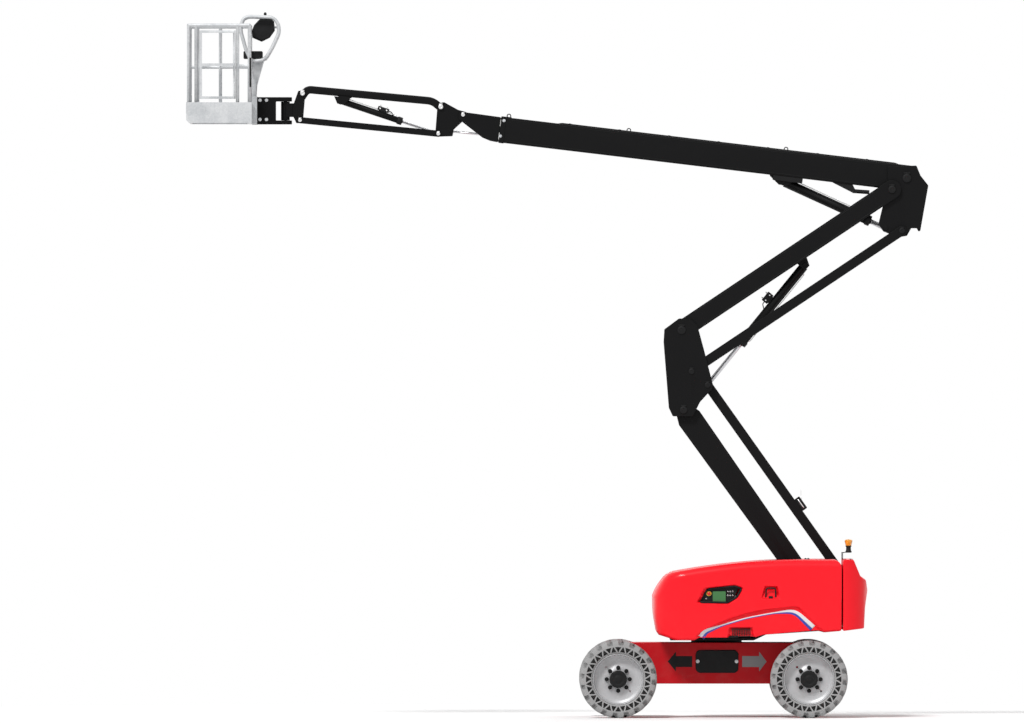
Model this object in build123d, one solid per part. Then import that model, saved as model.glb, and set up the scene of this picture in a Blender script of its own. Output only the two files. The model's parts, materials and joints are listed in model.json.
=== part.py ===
from build123d import *
import os
from math import asin, cos, degrees, hypot, pi, radians, sin

# Articulating boom lift, 20 m class, with two folding risers, a telescopic boom, a jib and a basket.
# Millimetres. The origin is where the slewing axis meets the ground. +Z is up, +X points from the
# slewing axis to the counterweight, and the machine faces -X, so its left side is at -Y.
# A (x, z) pair is a place in the machine's middle plane. A (low, high) pair is a stretch along an axis.

# ---- running fits
PIN_GAP = 0.5  # between a pin and its bore, on the radius
SIDE_GAP = 8.0  # between a moving part and the plates beside it

# ---- wheels and axles
WHEELBASE = 2290.0
FRONT_AXLE_X = -1186.0
TRACK = 2024.0
TYRE_RADIUS = 466.0
TYRE_WIDTH = 356.0
TYRE_SEAT_RADIUS = 306.0
LUG_COUNT = 20  # on each shoulder
LUG_HEIGHT = 26.0
TREAD_TAPER = 5.0  # degrees that the tread falls from its middle to a shoulder
APERTURE_COUNT = 20  # of each way up
APERTURE_INNER_RADIUS = 330.0
APERTURE_OUTER_RADIUS = 388.0
RIM_WALL = 10.0
RIM_DISC_INSET = 95.0
RIM_DISC_THICKNESS = 16.0
RIM_INSET = 30.0  # of the rim's edges from the tyre's sides
RIM_DISH = 44.0
RIM_HOLE_PLACE = 204.0
RIM_HOLE_RADIUS = 13.0
HUB_RADIUS = 109.0
HUB_REACH = 62.0
HUB_DEPTH = 55.0
HUB_FLANGE_RADIUS = 80.0
SPINDLE_RADIUS = 45.0
KINGPIN_TRACK = 1520.0
KINGPIN_RADIUS = 26.0
KNUCKLE_HALF_HEIGHT = 92.0
KNUCKLE_HALF_LENGTH = 56.0
KNUCKLE_HALF_WIDTH = 42.0
KNUCKLE_CORNER = 30.0
YOKE_THICKNESS = 26.0
YOKE_TIP = 40.0  # of the yoke beyond the kingpin
YOKE_THROAT = 68.0  # from the kingpin in to the yoke's web, clear of the turning knuckle
WEB_THICKNESS = 26.0
WEB_HALF_LENGTH = 40.0
AXLE_DEPTH = 150.0
TIE_ARM_DROP = 70.0
TIE_ARM_THICKNESS = 22.0
TIE_ARM_HALF_WIDTH = 26.0
TIE_ROD_RADIUS = 18.0
TIE_ROD_REACH = 210.0  # from the axle's line to the tie rod's
TIE_PIN_RADIUS = 12.0
TIE_EYE_WALL = 14.0
TIE_ROD_LIFT = 4.0  # of the tie rod's eyes above the arms

# ---- chassis
CHASSIS_TOP = 900.0
CHASSIS_BOTTOM = 406.0
CHASSIS_WIDTH = 940.0
CHASSIS_OVERHANG = 100.0  # beyond each axle's line
CHASSIS_WALL = 16.0
COVER_X = 4.0
COVER_RISE = 20.0  # of the covers' middle above the chassis's
COVER_CORNER = 60.0
COVER_LENGTH = 514.0
COVER_HEIGHT = 276.0
COVER_THICKNESS = 14.0
TIE_LUG_BORE = 22.0
TIE_LUG_THICKNESS = 25.0
TIE_LUG_REACH = 45.0  # from the chassis end to the bore
TIE_LUG_Y = 300.0
TIE_LUG_Z = 660.0
SLEW_RING_RADIUS = 305.0
SLEW_RING_HEIGHT = 30.0

# ---- turret
DECK_THICKNESS = 24.0
DECK_FRONT_X = -560.0
DECK_STEP_X = 440.0
DECK_STEP_LENGTH = 150.0
DECK_SLOPE = 60.0  # rise of the deck from its step to its rear end
SHELF_SIDE = 20.0  # the rear shelf beyond the cheeks
DECK_REAR_RISE = 128.0  # the deck's rear end above the hoods' bottom, clear of the turned tyres
DECK_SIDE = 170.0  # from the hoods' flanks in to the deck's edge
CHEEK_THICKNESS = 20.0
CHEEK_BOSS = 10.0
NOTCH_GAP = 6.0  # from the cheeks' bosses to the counterweight
LOWER_ARM_WIDTH = 260.0
FOOT_PIN = 40.0
LINK_PIN = 28.0
TURRET_WIDTH = 2160.0
HOOD_INNER_Y = 205.0
HOOD_WALL = 16.0
HOOD_NOSE_X = -804.0
HOOD_REAR_X = 1496.0
HOOD_TOP = 1900.0
HOOD_BOTTOM = 932.0
HOOD_SKIRT = 60.0  # depth that the hollow is cut below the hood's lower edge
HOOD_NOSE_Z = 1470.0  # where the nose starts to lean back
HOOD_FRONT_HALF = 640.0  # half the width at the nose
HOOD_CORNER_X = -380.0  # where the flank starts to turn in to the nose
HOOD_SHOULDER = (-655.0, 1665.0)  # top of the straight nose
HOOD_BROW = (-500.0, 1756.0)  # where the brow turns into the long top
HOOD_LEVEL_X = 1020.0  # where the top becomes level
HOOD_EDGE_RADIUS = 70.0
HINGE_RADIUS = 12.0
HINGE_STRETCH = (1040.0, 1440.0)
HINGE_INSET = 14.0  # of a hood's hinge from its inner edge
PANEL_DEPTH = 120.0
BEACON_Y = 340.0
BEACON_RISE = 108.0
BEACON_BASE = 52.0
BEACON_DOME = 78.0
TANK_LENGTH = 740.0
TANK_WIDTH = 540.0
TANK_HEIGHT = 426.0
TANK_CLEARANCE = 100.0  # from the tanks to the hoods' rear wall
TANK_SIDE = 240.0  # from the tanks to the hood's flank
HOOD_GAP = 16.0  # from the hoods to the counterweight
WEIGHT_FRONT_X = HOOD_REAR_X + HOOD_GAP
COUNTERWEIGHT_TAIL_X = 1812.0

# ---- lower riser, foot pin at the turret's rear
LOWER_FOOT = (1220.0, 1416.0)
LOWER_LENGTH = 2795.0
LOWER_ANGLE = 54.66
LOWER_ARM_FOOT_DEPTH = 232.0
LOWER_ARM_HEAD_DEPTH = 300.0
LOWER_LINK_OFFSET = (290.0, 300.0)
LOWER_LINK_DEPTH = 113.0
LOWER_LINK_WIDTH = 140.0
LOWER_LINK_FORK = 280.0  # length of the slot that the upper cylinder's rod swings in
LOWER_CYLINDER_BASE = (-100.0, 1060.0)
LOWER_LUG = (-500.0, -176.0)  # along and square to the lower arm, from its foot pin

# ---- upper riser
MIDDLE_RISE = (-24.0, 960.0)  # from the lower arm's head pin to the upper arm's foot pin
UPPER_LENGTH = 3045.0
UPPER_ANGLE = 33.75
UPPER_ARM_DEPTH = 222.0
UPPER_ARM_WIDTH = 368.0
UPPER_FORK_LENGTH = 1420.0
UPPER_LINK_OFFSET = (120.0, -496.0)
UPPER_LINK_DEPTH = 114.0
UPPER_LEG_WIDTH = 36.0
UPPER_LINK_TIE = (2250.0, 2330.0)  # plate that ties the link's two bars, along the link
UPPER_LUG = (1671.0, -174.0)
ARM_WALL = 8.0

# ---- knuckle plates
MIDDLE_PLATE = 20.0
TOP_PLATE = 20.0
TOP_RISE = (180.0, 137.0)  # from the upper arm's head pin to the boom's pivot
BOOM_CYLINDER_FOOT = (-72.0, -468.0)  # from the upper arm's head pin

# ---- boom
BOOM_ANGLE = 6.81
BOOM_LENGTH = 4930.0
BOOM_TAIL = 90.0
BOOM_DEPTH = 310.0
BOOM_WIDTH = 220.0
BOOM_WALL = 8.0
BOOM_LUG = (-1470.0, -218.0)
TELESCOPE_PAD = 9.0  # wear pads between the two sections
TELESCOPE_WALL = 7.0
TELESCOPE_HIDDEN = 4300.0  # length of the inner section inside the outer one
NOSE_LENGTH = 500.0
LEVEL_PIVOT = (463.0, 124.0)  # jib foot's pin, from the outer section's mouth and above the boom's axis
LEVEL_ARM = (-156.0, -198.0)  # from that pin to the levelling rod's eye
LEVEL_CYLINDER_LENGTH = 1000.0

# ---- jib
JIB_RISE = (-268.0, 96.0)  # from the levelling pivot to the jib arm's foot pin
JIB_LENGTH = 1672.0
JIB_ANGLE = 5.6
JIB_ARM_DEPTH = 92.0
JIB_ARM_WIDTH = 80.0
JIB_ARM_LIFT = 50.0  # of the arm's axis above its pins
JIB_LINK_OFFSET = (-30.0, -324.0)
JIB_LINK_DEPTH = 75.0
JIB_LUG = (-1210.0, -46.0)
JIB_PLATE = 16.0
JIB_LEG_THICKNESS = 14.0
JIB_LINK_TIE = (-1500.0, -1440.0)  # plate that ties the link's two legs, along the link

# ---- basket
ROTATOR_REACH = 206.0  # from the jib arm's head pin to the rotator's axis
ROTATOR_RADIUS = 53.0
ROTATOR_STRETCH = (7181.0, 7405.0)
BRACKET_STRETCH = (7131.0, 7459.0)
BASKET_GAP = 397.0  # from the rotator's axis to the basket
BASKET_LENGTH = 787.0
BASKET_WIDTH = 1800.0
BASKET_FLOOR = 7141.0
BASKET_HEIGHT = 1196.0
FLOOR_DEPTH = 94.0
TOE_BOARD_HEIGHT = 156.0
TOE_BOARD = 6.0
MID_RAIL_HEIGHT = 686.0
RAIL_RADIUS = 22.0
POST_RADIUS = 20.0
MID_RAIL_RADIUS = 18.0
END_POST_INSET = 90.0  # of an end's outer posts from the corner posts
GATE_WIDTH = 520.0
GATE_GAP = 18.0
GATE_BAR = 30.0
CONSOLE_DROP = 320.0  # from the top rail down to the console's tray
TRAY_THICKNESS = 70.0
TRAY_LENGTH = 230.0
TRAY_WIDTH = 520.0
COLUMN_WIDTH = 320.0
HOOP_WIDTH = 500.0
POST_REACH = 340.0  # of the long sides' inner posts from the middle, clear of the hoop
HOOP_RADIUS = 20.0


# ---- general forms
def plus(point, step):
    return point[0] + step[0], point[1] + step[1]


def block(x, y, z):
    sizes = [high - low for low, high in (x, y, z)]
    middles = [(low + high) / 2 for low, high in (x, y, z)]
    return Pos(*middles) * Box(*sizes)


def both_sides(shape):
    return shape + mirror(shape, Plane.XZ)


def plate(outline, y, corner=0.0):
    """Flat plate with an outline of (x, z) points, between two values of y."""
    face = make_face(Polyline(*[(x, 0, z) for x, z in outline], close=True))
    if corner:
        face = fillet(face.vertices(), corner)
    return Pos(0, y[0], 0) * extrude(face, y[1] - y[0], dir=(0, 1, 0))


def drum(point, radius, y):
    """Round bar across the machine, centred on an (x, z) point."""
    return Pos(point[0], (y[0] + y[1]) / 2, point[1]) * Rot(90, 0, 0) * Cylinder(radius, y[1] - y[0])


def pin(point, radius, half_length):
    return drum(point, radius, (-half_length, half_length))


def stubs(point, radius, y):
    """Pin in two halves, one on each side, that leaves the middle free."""
    return both_sides(drum(point, radius, y))


def boss(point, outer, bore, y):
    return drum(point, outer, y) - drum(point, bore, y)


def turned(point, tilt):
    """Frame of a member: its pins lie along x, z is square to it and y stays across the machine."""
    return Location((point[0], 0, point[1]), (0, tilt, 0))


def carried(frame_point, tilt, local):
    """World (x, z) of a point given along and square to a member."""
    angle = radians(tilt)
    return (
        frame_point[0] + local[0] * cos(angle) + local[1] * sin(angle),
        frame_point[1] - local[0] * sin(angle) + local[1] * cos(angle),
    )


# ---- pivots worked out from the sizes above
WHEEL_Z = TYRE_RADIUS
AXLES = {"front": FRONT_AXLE_X, "rear": FRONT_AXLE_X + WHEELBASE}
SIDES = {"left": -1, "right": 1}
LOWER_HEAD = carried(LOWER_FOOT, LOWER_ANGLE, (-LOWER_LENGTH, 0))
LOWER_LINK_FOOT = plus(LOWER_FOOT, LOWER_LINK_OFFSET)
LOWER_LINK_HEAD = plus(LOWER_HEAD, LOWER_LINK_OFFSET)
UPPER_FOOT = plus(LOWER_HEAD, MIDDLE_RISE)
UPPER_HEAD = carried(UPPER_FOOT, -UPPER_ANGLE, (UPPER_LENGTH, 0))
UPPER_LINK_FOOT = plus(UPPER_FOOT, UPPER_LINK_OFFSET)
UPPER_LINK_HEAD = plus(UPPER_HEAD, UPPER_LINK_OFFSET)
BOOM_PIVOT = plus(UPPER_HEAD, TOP_RISE)
BOOM_ROD_PIN = plus(UPPER_HEAD, BOOM_CYLINDER_FOOT)
LEVEL_PIN = carried(BOOM_PIVOT, BOOM_ANGLE, (-BOOM_LENGTH - LEVEL_PIVOT[0], LEVEL_PIVOT[1]))
LEVEL_ROD_PIN = plus(LEVEL_PIN, LEVEL_ARM)
LEVEL_BASE_PIN = carried(LEVEL_ROD_PIN, BOOM_ANGLE, (LEVEL_CYLINDER_LENGTH, 16))
JIB_FOOT_PIN = plus(LEVEL_PIN, JIB_RISE)
JIB_HEAD_PIN = carried(JIB_FOOT_PIN, JIB_ANGLE, (-JIB_LENGTH, 0))
JIB_LINK_FOOT = plus(JIB_FOOT_PIN, JIB_LINK_OFFSET)
JIB_LINK_HEAD = plus(JIB_HEAD_PIN, JIB_LINK_OFFSET)
ROTATOR_X = JIB_HEAD_PIN[0] - ROTATOR_REACH

TOP_PLATE_Y = (BOOM_WIDTH / 2 + SIDE_GAP + 2, BOOM_WIDTH / 2 + SIDE_GAP + 2 + TOP_PLATE)
LEG_Y = (TOP_PLATE_Y[1] + SIDE_GAP, TOP_PLATE_Y[1] + SIDE_GAP + UPPER_LEG_WIDTH)
MIDDLE_PLATE_Y = (LEG_Y[1] + SIDE_GAP, LEG_Y[1] + SIDE_GAP + MIDDLE_PLATE)
CHEEK_Y = (LOWER_ARM_WIDTH / 2 + SIDE_GAP + 4, LOWER_ARM_WIDTH / 2 + SIDE_GAP + 4 + CHEEK_THICKNESS)
DECK_Z = (CHASSIS_TOP + SLEW_RING_HEIGHT, CHASSIS_TOP + SLEW_RING_HEIGHT + DECK_THICKNESS)


# ---- wheels



def tyre():
    """Solid tyre about the Y axis, with staggered shoulder lugs and two rings of triangular holes."""
    half = TYRE_WIDTH / 2
    step = 2 * pi / LUG_COUNT
    tread = TYRE_RADIUS - LUG_HEIGHT
    # foot and crown of a lug, as shares of the lug pitch; the flat crown's middle is at the tyre's radius
    foot_share, crown_share = 0.31, 0.24
    crown = TYRE_RADIUS / cos(crown_share * step)
    tooth = ((-foot_share, tread), (-crown_share, crown), (crown_share, crown), (foot_share, tread))
    body = None
    for side, phase in ((1, 0.0), (-1, 0.5)):
        turns = [(radius, (i + share + phase) * step) for i in range(LUG_COUNT) for share, radius in tooth]
        gear = make_face(Polyline(*[(r * cos(a), 0, r * sin(a)) for r, a in turns], close=True))
        shoulder = extrude(gear, half, dir=(0, side, 0), taper=TREAD_TAPER)
        body = shoulder if body is None else body + shoulder
    body -= drum((0, 0), TYRE_SEAT_RADIUS, (-half - 1, half + 1))
    pitch = 2 * pi / (2 * APERTURE_COUNT)
    inner, outer = APERTURE_INNER_RADIUS, APERTURE_OUTER_RADIUS
    holes = []
    for turn, base, tip in ((0, outer, inner), (1, inner, outer)):
        corners = ((tip, 0.0), (base, -0.72 * pitch), (base, 0.72 * pitch))
        face = make_face(Polyline(*[(r * cos(a), 0, r * sin(a)) for r, a in corners], close=True))
        hole = extrude(face, half + 5, dir=(0, 1, 0), both=True)
        holes += [Rot(0, degrees(pitch) * (2 * i + turn), 0) * hole for i in range(APERTURE_COUNT)]
    return body - holes


def rim():
    """Dished rim about the Y axis with its hub, open towards -Y, where the machine's outside is."""
    half = TYRE_WIDTH / 2 - RIM_INSET
    seat = TYRE_SEAT_RADIUS
    well = seat - RIM_WALL
    disc_y = -half + RIM_DISC_INSET
    disc_back = disc_y + RIM_DISC_THICKNESS
    hub_back = disc_back + HUB_DEPTH
    cap = disc_y - HUB_REACH
    section = [
        (SPINDLE_RADIUS + PIN_GAP, cap + RIM_DISC_THICKNESS),
        (SPINDLE_RADIUS + PIN_GAP, hub_back),
        (HUB_RADIUS, hub_back),
        (HUB_RADIUS, disc_back),
        (well - RIM_DISH, disc_back),
        (well, disc_back + RIM_DISH),
        (well, half),
        (seat, half),
        (seat, -half),
        (well, -half),
        (well, disc_y - RIM_DISH / 2),
        (well - RIM_DISH, disc_y),
        (HUB_RADIUS, disc_y),
        (HUB_RADIUS, cap),
        (0, cap),
        (0, cap + RIM_DISC_THICKNESS),
    ]
    body = revolve(make_face(Polyline(*[(r, y, 0) for r, y in section], close=True)), Axis.Y)
    for turn in (45, 225):
        hole = Rot(90, 0, 0) * Cylinder(RIM_HOLE_RADIUS, 4 * RIM_DISC_THICKNESS)
        hole = Pos(RIM_HOLE_PLACE, disc_y, 0) * hole
        body -= Rot(0, turn, 0) * hole
    return body


def wheel_place(axle, side):
    """Where a wheel stands: the rim's open face turns to the machine's outside."""
    turn = Rot(0, 0, 180 if side > 0 else 0)
    return Pos(AXLES[axle], side * TRACK / 2, WHEEL_Z) * turn


def steering_knuckle(axle, side):
    """Kingpin block, wheel spindle and tie arm; the arm points away from the chassis."""
    x, y = AXLES[axle], side * KINGPIN_TRACK / 2
    away = -1 if axle == "front" else 1
    core = Pos(x, y, WHEEL_Z) * Box(
        2 * KNUCKLE_HALF_LENGTH, 2 * KNUCKLE_HALF_WIDTH, 2 * KNUCKLE_HALF_HEIGHT
    )
    core = fillet(core.edges().filter_by(Axis.Z), KNUCKLE_CORNER)
    disc_back = TYRE_WIDTH / 2 - RIM_INSET - RIM_DISC_INSET
    spindle_end = side * (TRACK / 2 + disc_back)
    spindle = drum((x, WHEEL_Z), SPINDLE_RADIUS, tuple(sorted((y, spindle_end))))
    flange_y = side * (TRACK / 2 - disc_back + RIM_DISC_THICKNESS)
    flange = drum((x, WHEEL_Z), HUB_FLANGE_RADIUS, tuple(sorted((y, flange_y))))
    arm_x = x + away * TIE_ROD_REACH
    low = WHEEL_Z - TIE_ARM_DROP
    high = low + TIE_ARM_THICKNESS
    along = tuple(sorted((x, arm_x)))
    arm = block(along, (y - TIE_ARM_HALF_WIDTH, y + TIE_ARM_HALF_WIDTH), (low, high))
    arm += Pos(arm_x, y, (low + high) / 2) * Cylinder(TIE_ARM_HALF_WIDTH, TIE_ARM_THICKNESS)
    stud_top = high + 2 * TIE_ROD_RADIUS + 2 * TIE_ROD_LIFT
    stud = Pos(arm_x, y, (low + stud_top) / 2) * Cylinder(TIE_PIN_RADIUS, stud_top - low)
    bore = Pos(x, y, WHEEL_Z) * Cylinder(KINGPIN_RADIUS + PIN_GAP, 3 * KNUCKLE_HALF_HEIGHT)
    return core + spindle + flange + arm + stud - bore


def tie_rod(axle):
    """Rod between the two tie arms; it keeps its length because the arms are parallel."""
    away = -1 if axle == "front" else 1
    x = AXLES[axle] + away * TIE_ROD_REACH
    half = KINGPIN_TRACK / 2
    z = WHEEL_Z - TIE_ARM_DROP + TIE_ARM_THICKNESS + TIE_ROD_LIFT + TIE_ROD_RADIUS
    eye = TIE_PIN_RADIUS + TIE_EYE_WALL
    rod_bar = drum((x, z), TIE_ROD_RADIUS - TIE_ROD_LIFT, (-half + eye - 6, half - eye + 6))
    for side in (-1, 1):
        rod_bar += Pos(x, side * half, z) * Cylinder(eye, 2 * TIE_ROD_RADIUS)
    holes = [Pos(x, side * half, z) * Cylinder(TIE_PIN_RADIUS + PIN_GAP, 80) for side in (-1, 1)]
    return rod_bar - holes


def axle_beam(axle):
    """Beam across the chassis with a forked yoke and kingpin at each end."""
    x = AXLES[axle]
    king = KINGPIN_TRACK / 2
    web = king - YOKE_THROAT
    half = AXLE_DEPTH / 2
    low = KNUCKLE_HALF_HEIGHT + 3
    reach = low + YOKE_THICKNESS
    inner = web - WEB_THICKNESS + 4
    beam = block((x - half, x + half), (-inner, inner), (WHEEL_Z - half, WHEEL_Z + half))
    for side in (-1, 1):
        along = tuple(sorted((side * (web - WEB_THICKNESS), side * (king + YOKE_TIP))))
        for up in (-1, 1):
            height = tuple(sorted((WHEEL_Z + up * low, WHEEL_Z + up * reach)))
            beam += block((x - KNUCKLE_HALF_LENGTH, x + KNUCKLE_HALF_LENGTH), along, height)
        across = tuple(sorted((side * (web - WEB_THICKNESS), side * web)))
        beam += block(
            (x - WEB_HALF_LENGTH, x + WEB_HALF_LENGTH), across, (WHEEL_Z - reach, WHEEL_Z + reach)
        )
        beam += Pos(x, side * king, WHEEL_Z) * Cylinder(KINGPIN_RADIUS, 2 * reach + 12)
    return beam


# ---- chassis
def chassis_frame():
    ends = (AXLES["front"] - CHASSIS_OVERHANG, AXLES["rear"] + CHASSIS_OVERHANG)
    half = CHASSIS_WIDTH / 2
    outline = [
        (ends[0], CHASSIS_BOTTOM + 90),
        (ends[0] + 60, CHASSIS_BOTTOM),
        (ends[1] - 60, CHASSIS_BOTTOM),
        (ends[1], CHASSIS_BOTTOM + 90),
        (ends[1], CHASSIS_TOP - 60),
        (ends[1] - 90, CHASSIS_TOP),
        (ends[0] + 90, CHASSIS_TOP),
        (ends[0], CHASSIS_TOP - 60),
    ]
    body = plate(outline, (-half, half), corner=14)
    for x in AXLES.values():
        notch = AXLE_DEPTH / 2 + 4
        body -= block((x - notch, x + notch), (-half - 1, half + 1), (0, WHEEL_Z + AXLE_DEPTH / 2))
    clear = AXLE_DEPTH / 2 + 4 + CHASSIS_WALL
    body -= block(
        (AXLES["front"] + clear, AXLES["rear"] - clear),
        (-half + CHASSIS_WALL, half - CHASSIS_WALL),
        (CHASSIS_BOTTOM + CHASSIS_WALL, CHASSIS_TOP - CHASSIS_WALL),
    )
    return body


def tie_down_eyes():
    """Level lashing eyes, two on each end of the chassis, open from above and from below."""
    outer = 2 * TIE_LUG_BORE
    low = TIE_LUG_Z - TIE_LUG_THICKNESS / 2
    eyes = []
    for axle, away in (("front", -1), ("rear", 1)):
        face = AXLES[axle] + away * CHASSIS_OVERHANG
        centre = face + away * TIE_LUG_REACH
        for y in (-TIE_LUG_Y, TIE_LUG_Y):
            middle = Pos(centre, y, TIE_LUG_Z)
            stretch = tuple(sorted((face, centre)))
            eye = block(stretch, (y - outer, y + outer), (low, low + TIE_LUG_THICKNESS))
            eye += middle * Cylinder(outer, TIE_LUG_THICKNESS)
            eyes.append(eye - middle * Cylinder(TIE_LUG_BORE, 2 * TIE_LUG_THICKNESS))
    return Compound(children=eyes)


def chassis_covers():
    """Rounded drive covers, one on each flank."""
    half = CHASSIS_WIDTH / 2
    middle = (CHASSIS_TOP + CHASSIS_BOTTOM) / 2 + COVER_RISE
    place = Pos(COVER_X, -half - COVER_THICKNESS / 2, middle)
    cover = place * Box(COVER_LENGTH, COVER_THICKNESS, COVER_HEIGHT)
    cover = fillet(cover.edges().filter_by(Axis.Y), COVER_CORNER)
    return both_sides(cover)


def slew_ring():
    middle = CHASSIS_TOP + SLEW_RING_HEIGHT / 2
    return Pos(0, 0, middle) * (
        Cylinder(SLEW_RING_RADIUS, SLEW_RING_HEIGHT) - Cylinder(SLEW_RING_RADIUS - 90, SLEW_RING_HEIGHT)
    )


# ---- turret
def rear_step():
    """End of the deck's step, and the height of the underside at the deck's rear end."""
    return DECK_STEP_X + DECK_STEP_LENGTH, HOOD_BOTTOM + DECK_REAR_RISE


def turret_deck():
    """Stepped deck on the slewing ring, with a shelf behind it that carries the counterweight."""
    low, high = DECK_Z
    step_x, rear_low = rear_step()
    rear = HOOD_REAR_X - HOOD_WALL - SIDE_GAP
    half = TURRET_WIDTH / 2 - DECK_SIDE
    deck = plate(
        [
            (DECK_FRONT_X, high),
            (DECK_FRONT_X, low),
            (DECK_STEP_X, low),
            (step_x, rear_low - DECK_SLOPE),
            (rear, rear_low),
            (rear, rear_low + DECK_THICKNESS),
            (step_x - 6, rear_low - DECK_SLOPE + DECK_THICKNESS),
            (DECK_STEP_X - 6, high),
        ],
        (-half, half),
    )
    side = CHEEK_Y[1] + SHELF_SIDE
    shelf = (rear_low, rear_low + DECK_THICKNESS)
    return deck + block((rear - 1, WEIGHT_FRONT_X), (-side, side), shelf)


def cheek(side):
    """Upright plate that carries one end of the riser's foot pins and of its cylinder's base pin."""
    step_x, rear_low = rear_step()
    link = LOWER_LINK_FOOT
    base = LOWER_CYLINDER_BASE
    body = plate(
        [
            (-600, DECK_Z[1] + 40),
            (-520, DECK_Z[1] - 1),
            (DECK_STEP_X - 6, DECK_Z[1] - 1),
            (step_x - 6, rear_low - DECK_SLOPE + DECK_THICKNESS - 1),
            (HOOD_REAR_X + 4, rear_low + DECK_THICKNESS - 1),
            (link[0] + 110, link[1] - 240),
            (link[0] + 110, link[1] + 70),
            (link[0] + 40, link[1] + 110),
            (LOWER_FOOT[0] - 60, link[1] + 110),
            (base[0] + 150, base[1] + 240),
            (-520, base[1] + 190),
            (-600, base[1] + 110),
        ],
        CHEEK_Y,
        corner=14,
    )
    for point, radius in ((LOWER_FOOT, FOOT_PIN), (link, LINK_PIN), (base, CYLINDERS["lower"]["pin"])):
        outside = (CHEEK_Y[1] - 1, CHEEK_Y[1] + CHEEK_BOSS)
        body += drum(point, 2 * radius, outside)
        body -= drum(point, radius + PIN_GAP, (CHEEK_Y[0] - 1, outside[1] + 1))
    body -= turret_deck()
    return body if side > 0 else mirror(body, Plane.XZ)


def counterweight():
    """Cast tail weight: a bowed back with an upper and a lower bulge, notched for the cheeks."""
    front = WEIGHT_FRONT_X
    half = TURRET_WIDTH / 2
    tail = COUNTERWEIGHT_TAIL_X
    side = plate(
        [
            (front, HOOD_TOP),
            (tail - 172, HOOD_TOP),
            (tail - 118, HOOD_TOP - 130),
            (tail - 90, HOOD_TOP - 196),
            (tail - 22, HOOD_TOP - 246),
            (tail - 4, HOOD_TOP - 370),
            (tail - 22, HOOD_TOP - 486),
            (tail - 34, HOOD_TOP - 582),
            (tail - 46, HOOD_TOP - 826),
            (front, HOOD_TOP - 856),
        ],
        (-half - 20, half + 20),
    )
    plan = make_face(
        Line((tail, half - 360), (tail, -half + 360))
        + ThreePointArc((tail, -half + 360), (tail - 110, -half + 116), (front, -half))
        + Polyline((front, -half), (front - 50, -half), (front - 50, half), (front, half))
        + ThreePointArc((front, half), (tail - 110, half - 116), (tail, half - 360))
    )
    body = side & extrude(plan, HOOD_TOP + 10, dir=(0, 0, 1))
    notch = LOWER_LINK_FOOT[0] + 120
    shelf_top = HOOD_BOTTOM + DECK_REAR_RISE + DECK_THICKNESS
    side = CHEEK_Y[1] + CHEEK_BOSS + NOTCH_GAP
    return body - block((front - 1, notch), (-side, side), (shelf_top, HOOD_TOP + 1))





def hood_side(inset):
    """Side face of a hood, drawn in by an inset: a straight nose, a round brow and a long level top."""
    top = HOOD_TOP - inset
    nose = HOOD_NOSE_X + inset
    low = HOOD_BOTTOM - (HOOD_SKIRT if inset else 0)
    rear = HOOD_REAR_X - inset
    shoulder = (HOOD_SHOULDER[0] + 0.8 * inset, HOOD_SHOULDER[1] - 0.6 * inset)
    front = Line((nose, HOOD_NOSE_Z), shoulder)
    brow = TangentArc(shoulder, (HOOD_BROW[0] + 0.2 * inset, HOOD_BROW[1] - inset), tangent=front % 1)
    long_top = TangentArc(brow @ 1, (HOOD_LEVEL_X, top), tangent=brow % 1)
    lower = Polyline(
        (HOOD_LEVEL_X, top),
        (rear, top),
        (rear, low + 112),
        (560, low + 34),
        (444, low),
        (-492, low),
        (-516, low + 18),
        (-700, low + 66),
        (nose + 72, low + 110),
        (nose, HOOD_NOSE_Z),
    )
    return make_face(Plane.XZ * (Curve() + [front, brow, long_top, lower]))


def hood_solid(inset):
    """A hood's outer form, or with an inset the form of its hollow."""
    half = TURRET_WIDTH / 2 - inset
    side = extrude(hood_side(inset), half + 10, dir=(0, 1, 0))
    nose = HOOD_NOSE_X - 20 + inset
    rear = HOOD_REAR_X - inset
    front_half = HOOD_FRONT_HALF - inset
    corner_x = HOOD_NOSE_X + 18 + inset
    inner = HOOD_INNER_Y if not inset else HOOD_INNER_Y - 1
    plan = make_face(
        Polyline((nose, inner), (rear, inner), (rear, half), (HOOD_CORNER_X, half))
        + TangentArc((HOOD_CORNER_X, half), (corner_x, front_half), tangent=(-1, 0))
        + Polyline((corner_x, front_half), (nose, front_half - 160), (nose, inner))
    )
    body = extrude(plan, HOOD_TOP + 10, dir=(0, 0, 1)) & side
    high = [e for e in body.edges() if e.center().Y > half - 300 and e.center().Z > HOOD_NOSE_Z]
    brow = [e for e in high if abs((e % 0.5).Z) < 0.9]
    return fillet(brow, HOOD_EDGE_RADIUS - inset)


def hood_hinge():
    """(y, z) of a hood's hinge, under the inner edge of its top."""
    return HOOD_INNER_Y + HINGE_INSET, HOOD_TOP - HOOD_WALL - HINGE_RADIUS / 2


PANEL_WINDOW = [(-240, 1384), (-134, 1562), (216, 1600), (322, 1562), (252, 1438), (138, 1368)]


def hood(side):
    """Hinged engine or tank cover: one moulded shell, open below and towards the middle."""
    shell = hood_solid(0) - hood_solid(HOOD_WALL)
    hinge = Plane.YZ * Pos(*hood_hinge()) * Circle(HINGE_RADIUS)
    shell += Pos(HINGE_STRETCH[0], 0, 0) * extrude(hinge, HINGE_STRETCH[1] - HINGE_STRETCH[0])
    if side > 0:
        return shell
    flank = (-TURRET_WIDTH / 2 - 5, -TURRET_WIDTH / 2 + 2 * HOOD_WALL)
    return mirror(shell, Plane.XZ) - plate(PANEL_WINDOW, flank, corner=30)


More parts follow.
